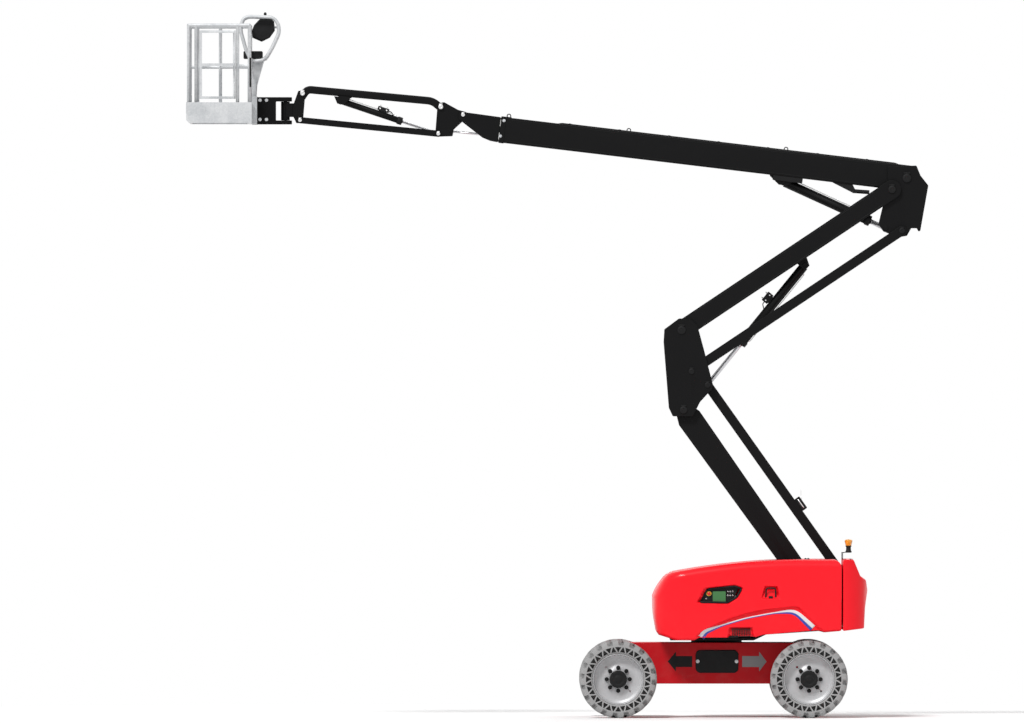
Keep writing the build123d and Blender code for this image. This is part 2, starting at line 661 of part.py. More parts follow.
def ground_panel():
    """Ground control box behind the left hood's window, on a post from the deck."""
    y = -TURRET_WIDTH / 2 + 60
    low, high = PANEL_WINDOW[-1][1] - 28, PANEL_WINDOW[2][1] + 20
    case = block((PANEL_WINDOW[0][0] + 40, PANEL_WINDOW[3][0] - 62), (y, y + PANEL_DEPTH), (low, high))
    screen = block((-150, 120), (y - 10, y), (1376, 1540))
    post = block((0, 60), (y + 20, y + 80), (DECK_Z[1], low))
    foot_y = -TURRET_WIDTH / 2 + DECK_SIDE
    foot = block((0, 60), (y + 80, foot_y + 60), (DECK_Z[1], DECK_Z[1] + 40))
    return case + screen + post + foot


def engine_block():
    return block((-420, 240), (360, 780), (DECK_Z[1], 1460))


def fluid_tanks():
    """Fuel and oil tanks as one block, on the deck's rear part."""
    rear = HOOD_REAR_X - HOOD_WALL - TANK_CLEARANCE
    outer = -TURRET_WIDTH / 2 + TANK_SIDE
    step_x, rear_low = rear_step()
    low = rear_low + DECK_THICKNESS + 10
    tank = block((rear - TANK_LENGTH, rear), (outer, outer + TANK_WIDTH), (low, low + TANK_HEIGHT))
    return fillet(tank.edges().filter_by(Axis.Z), 50)


def beacon():
    """Warning light on a bent strip at the hood's rear edge."""
    x, y = HOOD_REAR_X + HOOD_GAP / 2, -BEACON_Y
    arm_top = HOOD_TOP + BEACON_RISE
    strip = block((x - 6, x + 6), (y - 20, y + 20), (HOOD_TOP - 60, arm_top))
    arm = block((x - 6, x + 60), (y - 20, y + 20), (arm_top - 12, arm_top))
    base = Pos(x + 60, y, arm_top + BEACON_BASE / 2) * Cylinder(40, BEACON_BASE)
    dome = Pos(x + 60, y, arm_top + BEACON_BASE + BEACON_DOME / 2) * Cylinder(54, BEACON_DOME)
    return strip + arm + base + fillet(dome.edges().group_by(Axis.Z)[-1], 24)


# ---- hydraulic cylinders
def cylinder_frame(base, eye):
    """Frame of a cylinder: x runs from its base pin to its rod's eye."""
    tilt = -asin((eye[1] - base[1]) / hypot(eye[0] - base[0], eye[1] - base[1]))
    tilt = degrees(tilt)
    return turned(base, tilt if eye[0] >= base[0] else 180 - tilt)


def barrel(base, eye, size):
    """Barrel with its base eye and its gland."""
    radius, length, half = size["barrel"], size["barrel_length"], size["barrel"]
    shape = Pos(length / 2 + 10, 0, 0) * Rot(0, 90, 0) * Cylinder(radius, length - 20)
    shape += pin((0, 0), size["eye"], half)
    gland = Pos(length - 30, 0, 0) * Rot(0, 90, 0) * Cylinder(radius + 7, 60)
    bore_start = size["eye"] + 30
    bore = Pos((bore_start + length - 40) / 2, 0, 0) * Rot(0, 90, 0)
    shape = shape + gland - bore * Cylinder(radius - 8, length - 40 - bore_start)
    mouth = Pos(length, 0, 0) * Rot(0, 90, 0) * Cylinder(size["rod"] + PIN_GAP, 120)
    shape -= mouth
    if size["trunnion"]:
        shape += pin((0, 0), size["pin"], size["trunnion"])
    else:
        shape -= pin((0, 0), size["pin"] + PIN_GAP, half + 1)
    return cylinder_frame(base, eye) * shape


def rod(base, eye, size):
    """Chromed rod with its piston and its eye."""
    reach = hypot(eye[0] - base[0], eye[1] - base[1])
    start = reach - size["shortest"] + size["eye"] + 45
    half = size["eye_width"] / 2
    shape = Pos((start + reach) / 2, 0, 0) * Rot(0, 90, 0) * Cylinder(size["rod"], reach - start)
    shape += Pos(start + 20, 0, 0) * Rot(0, 90, 0) * Cylinder(size["barrel"] - 8 - PIN_GAP, 40)
    shape += pin((reach, 0), size["eye"], half)
    hole = pin((reach, 0), size["pin"] + PIN_GAP, half + 1)
    return cylinder_frame(base, eye) * (shape - hole)


LOWER_LUG_PIN = carried(LOWER_FOOT, LOWER_ANGLE, LOWER_LUG)
UPPER_LUG_PIN = carried(UPPER_FOOT, -UPPER_ANGLE, UPPER_LUG)
BOOM_LUG_PIN = carried(BOOM_PIVOT, BOOM_ANGLE, BOOM_LUG)
JIB_LUG_PIN = carried(JIB_FOOT_PIN, JIB_ANGLE, JIB_LUG)

# each cylinder: base pin, rod's eye, then barrel and rod radii, length of the barrel, shortest length
# between its pins, eye and pin radii, the rod eye's width and half the length of a pin fixed to the barrel
CYLINDER_COLUMNS = "base end barrel rod barrel_length shortest eye pin eye_width trunnion".split()
CYLINDER_TABLE = {
    "lower": (LOWER_CYLINDER_BASE, LOWER_LUG_PIN, 60, 32, 650, 765, 44, 28, 80, CHEEK_Y[1] + CHEEK_BOSS),
    "upper": (UPPER_LUG_PIN, LOWER_LINK_HEAD, 55, 27, 1230, 1560, 46, 28, 60, 0),
    "boom": (BOOM_LUG_PIN, BOOM_ROD_PIN, 56, 30, 1150, 1262, 46, 28, 80, 0),
    "level": (LEVEL_BASE_PIN, LEVEL_ROD_PIN, 30, 14, 560, 640, 26, 14, 36, 0),
    "jib": (JIB_LUG_PIN, JIB_LINK_FOOT, 38, 17, 784, 930, 30, 18, 32, 0),
}
CYLINDERS = {name: dict(zip(CYLINDER_COLUMNS, row)) for name, row in CYLINDER_TABLE.items()}


# the lug plates stand clear of the barrel between them
LUG_Y = {name: (size["barrel"] + 6, size["barrel"] + 24) for name, size in CYLINDERS.items()}


# ---- lower riser
def lower_arm():
    """Box arm, deeper towards its head, with its foot pin and an open underside over the cylinder's eye."""
    half = LOWER_ARM_WIDTH / 2
    foot, head = LOWER_ARM_FOOT_DEPTH / 2, LOWER_ARM_HEAD_DEPTH / 2
    length = LOWER_LENGTH
    wall = ARM_WALL
    outline = [
        (70, -foot + 30),
        (70, foot - 30),
        (40, foot),
        (-length + 120, head),
        (-length - 60, 80),
        (-length - 60, -80),
        (-length + 120, -head),
        (40, -foot),
    ]
    body = plate(outline, (-half, half), corner=20)
    room = [
        (-150, foot - wall),
        (-length + 200, head - wall),
        (-length + 200, wall - head),
        (-150, wall - foot),
    ]
    body -= plate(room, (-half + wall, half - wall))
    size = CYLINDERS["lower"]
    lug_y = (size["eye_width"] / 2 + 6, size["eye_width"] / 2 + 26)
    x, z = LOWER_LUG
    lug = [(x - 60, -foot + 6), (x + 60, -foot + 6), (x + 38, z - 32), (x - 38, z - 32)]
    lug = plate(lug, lug_y, corner=10)
    body += both_sides(lug) + stubs(LOWER_LUG, size["pin"], (size["eye_width"] / 2 + 2, lug_y[1]))
    body -= block((x - 150, x + 110), (-lug_y[0], lug_y[0]), (-foot - 30, -foot + 2 * wall))
    body += pin((0, 0), FOOT_PIN, CHEEK_Y[1] + CHEEK_BOSS)
    body -= pin((-length, 0), FOOT_PIN + PIN_GAP, half + 1)
    return turned(LOWER_FOOT, LOWER_ANGLE) * body


def lower_link():
    """Levelling link of the lower riser: foot pin, and a long fork round the upper cylinder's rod."""
    half, deep = LOWER_LINK_WIDTH / 2, LOWER_LINK_DEPTH / 2
    length = LOWER_LENGTH
    body = block((-length, 0), (-half, half), (-deep, deep))
    body -= block((-length + 300, -300), (-half + 6, half - 6), (-deep + 6, deep - 6))
    body += pin((0, 0), deep, half) + pin((-length, 0), deep, half)
    slot = CYLINDERS["upper"]["eye_width"] / 2 + 4
    body -= block((-length - deep - 1, -length + LOWER_LINK_FORK), (-slot, slot), (-deep - 1, deep + 1))
    body += pin((0, 0), LINK_PIN, CHEEK_Y[1] + CHEEK_BOSS)
    body -= pin((-length, 0), LINK_PIN + PIN_GAP, half + 1)
    return turned(LOWER_LINK_FOOT, LOWER_ANGLE) * body


def middle_knuckle():
    """Two tall plates with the pins of both risers."""
    low, link, top, side_link = LOWER_HEAD, LOWER_LINK_HEAD, UPPER_FOOT, UPPER_LINK_FOOT
    outline = [
        (low[0] - 127, low[1] - 78),
        (low[0] + 110, low[1] - 78),
        (low[0] + 200, low[1] + 96),
        (link[0] + 46, link[1] - 56),
        (link[0] + 62, link[1] + 10),
        (side_link[0] + 150, side_link[1] + 260),
        (top[0] + 190, top[1] + 60),
        (top[0] + 110, top[1] + 136),
        (top[0] - 30, top[1] + 140),
        (top[0] - 205, top[1] + 10),
        (top[0] - 214, top[1] - 144),
        (low[0] - 175, low[1] + 24),
    ]
    body = both_sides(plate(outline, MIDDLE_PLATE_Y, corner=18))
    reach = MIDDLE_PLATE_Y[1] + 5
    body += pin(low, 40, reach) + pin(top, 45, reach) + pin(side_link, 28, reach)
    body += stubs(link, 28, (CYLINDERS["upper"]["eye_width"] / 2 + 6, reach))
    return body


# ---- upper riser
def upper_arm():
    """Box arm whose head is a long fork, so that the boom and its cylinder fold down between its legs."""
    half, deep = UPPER_ARM_WIDTH / 2, UPPER_ARM_DEPTH / 2
    split = UPPER_LENGTH - UPPER_FORK_LENGTH
    wall = ARM_WALL
    main = block((0, split), (-half, half), (-deep, deep)) + pin((0, 0), deep, half)
    main -= block((190, split - 30), (-half + wall, half - wall), (-deep + wall, deep - wall))
    leg = block((split, UPPER_LENGTH), LEG_Y, (-deep, deep))
    leg += drum((UPPER_LENGTH, 0), deep, LEG_Y)
    leg -= block((split + 60, UPPER_LENGTH - 160), (LEG_Y[0] + 6, LEG_Y[1] - 6), (-deep + 6, deep - 6))
    body = main + both_sides(leg)
    lug = plate(
        [
            (UPPER_LUG[0] - 70, -deep + 6),
            (UPPER_LUG[0] + 70, -deep + 6),
            (UPPER_LUG[0] + 40, UPPER_LUG[1] - 40),
            (UPPER_LUG[0] - 40, UPPER_LUG[1] - 40),
        ],
        LUG_Y["upper"],
        corner=10,
    )
    tie = block((split - 40, UPPER_LUG[0] + 100), (-LEG_Y[0] - 2, LEG_Y[0] + 2), (-deep, -deep + 24))
    body += tie + both_sides(lug) + pin(UPPER_LUG, CYLINDERS["upper"]["pin"], LUG_Y["upper"][1] + 4)
    body -= pin((0, 0), 45 + PIN_GAP, half + 1)
    body -= pin((UPPER_LENGTH, 0), 45 + PIN_GAP, half + 1)
    return turned(UPPER_FOOT, -UPPER_ANGLE) * body


def upper_link():
    """Two parallel bars tied near their feet."""
    deep = UPPER_LINK_DEPTH / 2
    leg = block((0, UPPER_LENGTH), LEG_Y, (-deep, deep))
    leg += drum((0, 0), deep, LEG_Y) + drum((UPPER_LENGTH, 0), deep, LEG_Y)
    leg -= block((120, UPPER_LENGTH - 120), (LEG_Y[0] + 6, LEG_Y[1] - 6), (-deep + 6, deep - 6))
    body = both_sides(leg)
    body -= pin((0, 0), 28 + PIN_GAP, LEG_Y[1] + 1) + pin((UPPER_LENGTH, 0), 28 + PIN_GAP, LEG_Y[1] + 1)
    body += block(UPPER_LINK_TIE, (-LEG_Y[0] - 1, LEG_Y[0] + 1), (-deep, -deep + 30))
    return turned(UPPER_LINK_FOOT, -UPPER_ANGLE) * body


def top_knuckle():
    """Two plates between the upper arm's legs, with the boom's pivot and its cylinder's foot pin."""
    head, link, boom, foot = UPPER_HEAD, UPPER_LINK_HEAD, BOOM_PIVOT, BOOM_ROD_PIN
    outline = [
        (foot[0] - 90, foot[1] + 46),
        (foot[0] - 30, foot[1] - 36),
        (link[0] - 40, link[1] - 78),
        (link[0] + 60, link[1] - 62),
        (link[0] + 112, link[1] + 30),
        (link[0] + 180, link[1] + 30),
        (link[0] + 216, link[1] - 32),
        (boom[0] + 258, boom[1] - 89),
        (boom[0] + 164, boom[1] + 31),
        (boom[0] + 115, boom[1] + 151),
        (boom[0] - 230, boom[1] + 140),
        (boom[0] - 230, boom[1] - 100),
    ]
    body = both_sides(plate(outline, TOP_PLATE_Y, corner=14))
    for side in (-1, 1):
        stub = sorted((side * TOP_PLATE_Y[0], side * (LEG_Y[1] + 6)))
        body += drum(head, 45, tuple(stub))
        body += drum(link, 28, tuple(stub))
    body += pin(link, 28, TOP_PLATE_Y[1]) + pin(boom, 45, TOP_PLATE_Y[1] + 6)
    inner = CYLINDERS["boom"]["eye_width"] / 2 + 2
    body += stubs(foot, CYLINDERS["boom"]["pin"], (inner, TOP_PLATE_Y[1] + 4))
    across = (-TOP_PLATE_Y[1] + 4, TOP_PLATE_Y[1] - 4)
    rear = block((boom[0] + 140, boom[0] + 160), across, (foot[1] + 60, foot[1] + 380))
    return body + rear


# ---- boom
def boom_outer():
    """Outer boom section: an open box tube with the lift cylinder's lug below."""
    half, deep = BOOM_WIDTH / 2, BOOM_DEPTH / 2
    wall = BOOM_WALL
    tube = block((-BOOM_LENGTH, BOOM_TAIL), (-half, half), (-deep, deep))
    tube = fillet(tube.edges().filter_by(Axis.X), 16)
    tube -= block((-BOOM_LENGTH - 1, -200), (-half + wall, half - wall), (-deep + wall, deep - wall))
    collar = block((-BOOM_LENGTH, -BOOM_LENGTH + 60), (-half - 6, half + 6), (-deep - 6, deep + 6))
    collar -= block((-BOOM_LENGTH - 1, -BOOM_LENGTH + 61), (-half, half), (-deep, deep))
    lug = plate(
        [
            (BOOM_LUG[0] - 190, -deep + 4),
            (BOOM_LUG[0] + 190, -deep + 4),
            (BOOM_LUG[0] + 50, BOOM_LUG[1] - 42),
            (BOOM_LUG[0] - 50, BOOM_LUG[1] - 42),
        ],
        LUG_Y["boom"],
        corner=10,
    )
    body = tube + collar + both_sides(lug) + pin(BOOM_LUG, CYLINDERS["boom"]["pin"], LUG_Y["boom"][1] + 4)
    body -= pin((0, 0), 45 + PIN_GAP, half + 1)
    return turned(BOOM_PIVOT, BOOM_ANGLE) * body


def telescope():
    """Inner section on wear pads, with the two nose plates that hold the jib's foot."""
    half = BOOM_WIDTH / 2 - BOOM_WALL - TELESCOPE_PAD
    deep = BOOM_DEPTH / 2 - BOOM_WALL - TELESCOPE_PAD
    wall = TELESCOPE_WALL
    mouth = -BOOM_LENGTH
    tail = mouth + TELESCOPE_HIDDEN
    tube = block((mouth - 40, tail), (-half, half), (-deep, deep))
    tube -= block((mouth - 41, tail + 1), (-half + wall, half - wall), (-deep + wall, deep - wall))
    outline = [
        (mouth - 8, BOOM_DEPTH / 2 - 6),
        (mouth - 8, -BOOM_DEPTH / 2),
        (mouth - 100, -BOOM_DEPTH / 2 + 6),
        (mouth - 200, -BOOM_DEPTH / 2 + 34),
        (mouth - LEVEL_PIVOT[0] - 50, LEVEL_PIVOT[1] - 56),
        (mouth - NOSE_LENGTH - 14, LEVEL_PIVOT[1] - 16),
        (mouth - NOSE_LENGTH - 14, LEVEL_PIVOT[1] + 34),
    ]
    nose = plate(outline, (half - 18, half), corner=12)
    body = tube + both_sides(nose)
    body += pin((mouth - LEVEL_PIVOT[0], LEVEL_PIVOT[1]), 24, half + 6)
    base = LEVEL_ARM_BASE
    body += pin(base, CYLINDERS["level"]["pin"], half - wall + 2)
    return turned(BOOM_PIVOT, BOOM_ANGLE) * body


def local(frame_point, tilt, point):
    """A world point given along and square to a member."""
    angle = radians(tilt)
    dx, dz = point[0] - frame_point[0], point[1] - frame_point[1]
    return dx * cos(angle) - dz * sin(angle), dx * sin(angle) + dz * cos(angle)


LEVEL_ARM_BASE = local(BOOM_PIVOT, BOOM_ANGLE, LEVEL_BASE_PIN)
NOSE_INNER = BOOM_WIDTH / 2 - BOOM_WALL - TELESCOPE_PAD - 18
FOOT_PLATE_Y = (JIB_ARM_WIDTH / 2 + 5, JIB_ARM_WIDTH / 2 + 5 + JIB_PLATE)
JIB_LEG_Y = (FOOT_PLATE_Y[1] + 5, FOOT_PLATE_Y[1] + 5 + JIB_LEG_THICKNESS)


# ---- jib
def jib_foot():
    """Levelled foot between the boom's nose plates, with the jib's two foot pins."""
    pivot, rod_pin, arm, link = LEVEL_PIN, LEVEL_ROD_PIN, JIB_FOOT_PIN, JIB_LINK_FOOT
    outline = [
        (pivot[0] + 44, pivot[1] + 30),
        (pivot[0] - 60, pivot[1] + 60),
        (arm[0] + 40, arm[1] + 56),
        (arm[0] - 38, arm[1] + 40),
        (link[0] - 36, link[1] + 10),
        (link[0] - 26, link[1] - 36),
        (rod_pin[0] + 30, rod_pin[1] - 60),
        (rod_pin[0] + 44, rod_pin[1] + 20),
        (pivot[0] + 34, pivot[1] - 44),
    ]
    body = both_sides(plate(outline, FOOT_PLATE_Y, corner=14))
    body += boss(pivot, 42, 24 + PIN_GAP, (-NOSE_INNER + 4, NOSE_INNER - 4))
    reach = FOOT_PLATE_Y[1] + 3
    body += pin(arm, 20, reach)
    body += stubs(link, CYLINDERS["jib"]["pin"], (CYLINDERS["jib"]["eye_width"] / 2 + 6, JIB_LEG_Y[1] + 4))
    body += stubs(rod_pin, CYLINDERS["level"]["pin"], (CYLINDERS["level"]["eye_width"] / 2 + 2, reach))
    return body - pin(pivot, 24 + PIN_GAP, NOSE_INNER)


def jib_arm():
    """Tube above its pins, with a pad at each end and two ears for the cylinder."""
    half, deep, lift = JIB_ARM_WIDTH / 2, JIB_ARM_DEPTH / 2, JIB_ARM_LIFT
    body = block((-JIB_LENGTH - 20, 30), (-half, half), (lift - deep, lift + deep))
    body = fillet(body.edges().filter_by(Axis.X), 10)
    body -= block((-JIB_LENGTH + 60, -60), (-half + 6, half - 6), (lift - deep + 6, lift + deep - 6))
    for x in (0, -JIB_LENGTH):
        pad = [(x - 60, lift), (x + 36, lift), (x + 30, -24), (x - 22, -32), (x - 40, -10)]
        body += plate(pad, (-half, half), corner=8)
    ear_y = LUG_Y["jib"]
    x, z = JIB_LUG
    ear = [(x - 60, lift), (x + 60, lift), (x + 28, z - 30), (x - 28, z - 30)]
    ear = plate(ear, (half - 2, ear_y[1]), corner=8)
    ear -= block((x - 100, x + 100), (0, ear_y[0]), (z - 50, lift - deep))
    body += both_sides(ear) + pin(JIB_LUG, CYLINDERS["jib"]["pin"], ear_y[1] + 3)
    body -= pin((0, 0), 20 + PIN_GAP, half + 1) + pin((-JIB_LENGTH, 0), 20 + PIN_GAP, half + 1)
    return turned(JIB_FOOT_PIN, JIB_ANGLE) * body


def jib_link():
    """Levelling link of the jib: two flat bars outside the plates, clear of the cylinder between them."""
    deep = JIB_LINK_DEPTH / 2
    leg = block((-JIB_LENGTH, 0), JIB_LEG_Y, (-deep, deep))
    leg += drum((0, 0), deep, JIB_LEG_Y) + drum((-JIB_LENGTH, 0), deep, JIB_LEG_Y)
    body = both_sides(leg) + block(JIB_LINK_TIE, (-JIB_LEG_Y[0] - 1, JIB_LEG_Y[0] + 1), (-deep, deep - 20))
    bore = CYLINDERS["jib"]["pin"] + PIN_GAP
    body -= pin((0, 0), bore, JIB_LEG_Y[1] + 1) + pin((-JIB_LENGTH, 0), bore, JIB_LEG_Y[1] + 1)
    return turned(JIB_LINK_FOOT, JIB_ANGLE) * body


def jib_head():
    """Head plates with the jib's two head pins, and the rotator's body."""
    arm, link = JIB_HEAD_PIN, JIB_LINK_HEAD
    outline = [
        (arm[0] + 36, arm[1] + 30),
        (arm[0] - 50, arm[1] + 30),
        (link[0] - 90, link[1] + 160),
        (link[0] - 90, link[1] + 60),
        (link[0] - 44, link[1] - 36),
        (link[0] + 34, link[1] - 36),
    ]
    body = both_sides(plate(outline, FOOT_PLATE_Y, corner=10))
    reach = FOOT_PLATE_Y[1] + 3
    body += pin(arm, 20, reach) + pin(link, CYLINDERS["jib"]["pin"], JIB_LEG_Y[1] + 4)
    neck_z = (ROTATOR_STRETCH[0] + 40, ROTATOR_STRETCH[1] - 20)
    body += block((ROTATOR_X, link[0] - 60), (-FOOT_PLATE_Y[1] + 2, FOOT_PLATE_Y[1] - 2), neck_z)
    middle = sum(ROTATOR_STRETCH) / 2
    body += Pos(ROTATOR_X, 0, middle) * Cylinder(ROTATOR_RADIUS, ROTATOR_STRETCH[1] - ROTATOR_STRETCH[0])
    low, high = BRACKET_STRETCH
    return body + Pos(ROTATOR_X, 0, (low + high) / 2) * Cylinder(20, high - low - 10)


# ---- basket
BASKET_X = (ROTATOR_X - BASKET_GAP - BASKET_LENGTH, ROTATOR_X - BASKET_GAP)
BASKET_Y = (-BASKET_WIDTH / 2, BASKET_WIDTH / 2)
RAIL_TOP = BASKET_FLOOR + BASKET_HEIGHT


def basket_bracket():
    """C-shaped bracket that turns round the rotator and carries the basket."""
    low, high = BRACKET_STRETCH
    gap = 2.0
    web_x = (ROTATOR_X - BASKET_GAP, ROTATOR_X - ROTATOR_RADIUS - 60)
    lower = block((ROTATOR_X - 130, ROTATOR_X), (-80, 80), (low, ROTATOR_STRETCH[0] - gap))
    below, above = ROTATOR_STRETCH[0] - gap, ROTATOR_STRETCH[1] + gap
    lower += Pos(ROTATOR_X, 0, (low + below) / 2) * Cylinder(80, below - low)
    upper = block((ROTATOR_X - 130, ROTATOR_X), (-80, 80), (ROTATOR_STRETCH[1] + gap, high))
    upper += Pos(ROTATOR_X, 0, (high + above) / 2) * Cylinder(80, high - above)
    web = block((web_x[0] + 70, web_x[1]), (-80, 80), (low, high))
    wing = block((web_x[0], web_x[0] + 70), (-330, 330), (low, low + 60))
    wing += block((web_x[0], web_x[0] + 70), (-330, 330), (high - 60, high))
    wing += both_sides(block((web_x[0], web_x[0] + 70), (250, 330), (low, high)))
    wing += block((web_x[0] + 10, web_x[0] + 70), (-80, 80), (low, high))
    body = lower + upper + web + wing
    return body - Pos(ROTATOR_X, 0, (low + high) / 2) * Cylinder(20 + PIN_GAP, high - low + 4)


def basket_floor():
    """Floor tray with its toe boards."""
    x, y = BASKET_X, BASKET_Y
    tray = block(x, y, (BASKET_FLOOR, BASKET_FLOOR + FLOOR_DEPTH))
    tray = chamfer(tray.edges().filter_by(Axis.Y).group_by(Axis.Z)[0].group_by(Axis.X)[0], 36)
    top = BASKET_FLOOR + FLOOR_DEPTH
    tray -= block((x[0] + 60, x[1] - 60), (y[0] + 60, y[1] - 60), (BASKET_FLOOR - 1, top - 10))
    tray += block(x, y, (top, top + TOE_BOARD_HEIGHT))
    thick = TOE_BOARD
    inside = (x[0] + thick, x[1] - thick), (y[0] + thick, y[1] - thick)
    return tray - block(*inside, (top, top + TOE_BOARD_HEIGHT + 1))


def rail_frame(start, end, posts, mid_start=None):
    """One side of the guard rails: posts, a top rail and a mid rail, between two (x, y) corners."""
    foot = BASKET_FLOOR + FLOOR_DEPTH
    top, mid = RAIL_TOP - RAIL_RADIUS, BASKET_FLOOR + MID_RAIL_HEIGHT
    top_line = Line((*start, top), (*end, top))
    mid_line = Line((*(mid_start or start), mid), (*end, mid))
    body = Plane(top_line @ 0, z_dir=top_line % 0) * Pos(0, 0, top_line.length / 2)
    body = body * Cylinder(RAIL_RADIUS, top_line.length)
    middle = Plane(mid_line @ 0, z_dir=mid_line % 0) * Pos(0, 0, mid_line.length / 2)
    body += middle * Cylinder(MID_RAIL_RADIUS, mid_line.length)
    for px, py in posts:
        body += Pos(px, py, (foot + top) / 2) * Cylinder(POST_RADIUS, top - foot)
    return body


def rail_lines():
    """Axes of the guard rails, as low and high values of x and of y."""
    inset = TOE_BOARD + 1 + RAIL_RADIUS
    return (BASKET_X[0] + inset, BASKET_X[1] - inset), (BASKET_Y[0] + inset, BASKET_Y[1] - inset)


def gate_post_x():
    return rail_lines()[0][0] + GATE_WIDTH + END_POST_INSET - RAIL_RADIUS


def basket_end_rails(side):
    """Rails of one short end, with its corner posts; the near end leaves room for the gate."""
    (x0, x1), y = rail_lines()
    y = y[0] if side < 0 else y[1]
    posts = [(x0, y), (x0 + END_POST_INSET, y), (x1, y)]
    if side > 0:
        return rail_frame((x0, y), (x1, y), posts + [((x0 + x1) / 2, y)])
    return rail_frame((x0, y), (x1, y), posts + [(gate_post_x(), y)], mid_start=(gate_post_x(), y))


def basket_long_rails(side):
    """Rails of one long side, cut to fit round the corner posts."""
    x, (y0, y1) = rail_lines()
    x = x[0] if side < 0 else x[1]
    frame = rail_frame((x, y0), (x, y1), [(x, -POST_REACH), (x, POST_REACH)])
    for corner_y in (y0, y1):
        place = Pos(x, corner_y, RAIL_TOP - BASKET_HEIGHT / 2)
        frame -= place * Box(4 * RAIL_RADIUS, 2 * RAIL_RADIUS, 2 * BASKET_HEIGHT)
    return frame


def basket_gate():
    """Swinging gate in the basket's near end; its hinge is the tube beside the gate post."""
    (x0, x1), (y, far) = rail_lines()
    start = x0 + END_POST_INSET + RAIL_RADIUS + GATE_GAP
    end = gate_post_x() - RAIL_RADIUS - GATE_GAP
    low = BASKET_FLOOR + FLOOR_DEPTH + TOE_BOARD_HEIGHT + 40
    high = RAIL_TOP - 2 * RAIL_RADIUS - 40
    half = GATE_BAR / 2
    body = block((start, start + GATE_BAR), (y - half, y + half), (low, high))
    body += Pos(end, y, (low + high) / 2) * Cylinder(half, high - low)
    for z in (low, (low + high - GATE_BAR) / 2, high - GATE_BAR):
        body += block((start, end), (y - half, y + half), (z, z + GATE_BAR))
    return body


def basket_console():
    """Control box on its tray, with a tapered column below and a bent guard hoop round it."""
    x = BASKET_X[1]
    tray_top = RAIL_TOP - CONSOLE_DROP
    tray_low = tray_top - TRAY_THICKNESS
    low = BRACKET_STRETCH[1] + 60
    tray = block((x - 110, x - 110 + TRAY_LENGTH), (-TRAY_WIDTH / 2, TRAY_WIDTH / 2), (tray_low, tray_top))
    column = plate(
        [(x + 2, tray_low + 4), (x + 140, tray_low + 30), (x + 60, low + 150), (x + 50, low), (x + 2, low)],
        (-COLUMN_WIDTH / 2, COLUMN_WIDTH / 2),
    )
    case = plate(
        [
            (x - 20, tray_top),
            (x + 118, tray_top),
            (x + 250, tray_top + 300),
            (x + 118, tray_top + 410),
            (x + 20, tray_top + 200),
        ],
        (-TRAY_WIDTH / 2 + 40, TRAY_WIDTH / 2 - 40),
        corner=16,
    )
    return tray + column + case + console_hoop()


def console_hoop():
    """Two bent guard tubes, one on each side of the console, tied by two bars across."""
    x, z = BASKET_X[1], RAIL_TOP
    half = HOOP_WIDTH / 2
    outline = FilletPolyline(
        (x - 50, z - 360),
        (x - 128, z - 60),
        (x - 70, z + 74),
        (x + 270, z + 70),
        (x + 352, z - 90),
        (x + 100, z - 360),
        radius=55,
    )
    wire = Plane.XZ * outline
    tube = sweep(Plane(wire @ 0, z_dir=wire % 0) * Circle(HOOP_RADIUS), path=wire)
    bars = pin((x - 99, z + 7), HOOP_RADIUS - 5, half) + pin((x + 311, z - 10), HOOP_RADIUS - 5, half)
    return both_sides(Pos(0, half, 0) * tube) + bars


# ---- every node
def all_parts():
    parts = {}
    for axle in AXLES:
        parts[f"{axle}_axle"] = axle_beam(axle)
        parts[f"{axle}_tie_rod"] = tie_rod(axle)
        for side_name, side in SIDES.items():
            name = f"{axle}_{side_name}"
            parts[f"{name}_knuckle"] = steering_knuckle(axle, side)
            parts[f"{name}_tyre"] = wheel_place(axle, side) * TYRE
            parts[f"{name}_rim"] = wheel_place(axle, side) * RIM
    parts["chassis_frame"] = chassis_frame()
    parts["chassis_covers"] = chassis_covers()
    parts["slew_ring"] = slew_ring()
    parts["tie_down_eyes"] = tie_down_eyes()
    parts["turret_deck"] = turret_deck()
    parts["left_cheek"] = cheek(-1)
    parts["right_cheek"] = cheek(1)
    parts["counterweight"] = counterweight()
    parts["left_hood"] = hood(-1)
    parts["right_hood"] = hood(1)
    parts["ground_panel"] = ground_panel()
    parts["engine_block"] = engine_block()
    parts["fluid_tanks"] = fluid_tanks()
    parts["beacon"] = beacon()
    parts["lower_arm"] = lower_arm()
    parts["lower_link"] = lower_link()
    parts["middle_knuckle"] = middle_knuckle()
    parts["upper_arm"] = upper_arm()
    parts["upper_link"] = upper_link()
    parts["top_knuckle"] = top_knuckle()
    parts["boom_outer"] = boom_outer()
    parts["telescope"] = telescope()
    parts["jib_foot"] = jib_foot()
    parts["jib_arm"] = jib_arm()
    parts["jib_link"] = jib_link()
    parts["jib_head"] = jib_head()
    for name, size in CYLINDERS.items():
        parts[f"{name}_barrel"] = barrel(size["base"], size["end"], size)
        parts[f"{name}_rod"] = rod(size["base"], size["end"], size)
    parts["basket_bracket"] = basket_bracket()
    parts["basket_floor"] = basket_floor()
    parts["near_rails"] = basket_end_rails(-1)
    parts["far_rails"] = basket_end_rails(1)
    parts["front_rails"] = basket_long_rails(-1)
    parts["rear_rails"] = basket_long_rails(1)
    parts["basket_gate"] = basket_gate()
    parts["basket_console"] = basket_console()
    return parts


TYRE = tyre()
RIM = rim()
os.makedirs("parts", exist_ok=True)
for node, shape in all_parts().items():
    export_step(shape, f"parts/{node}.step")
    print(node, len(shape.solids()), round(shape.volume / 1e9, 4))
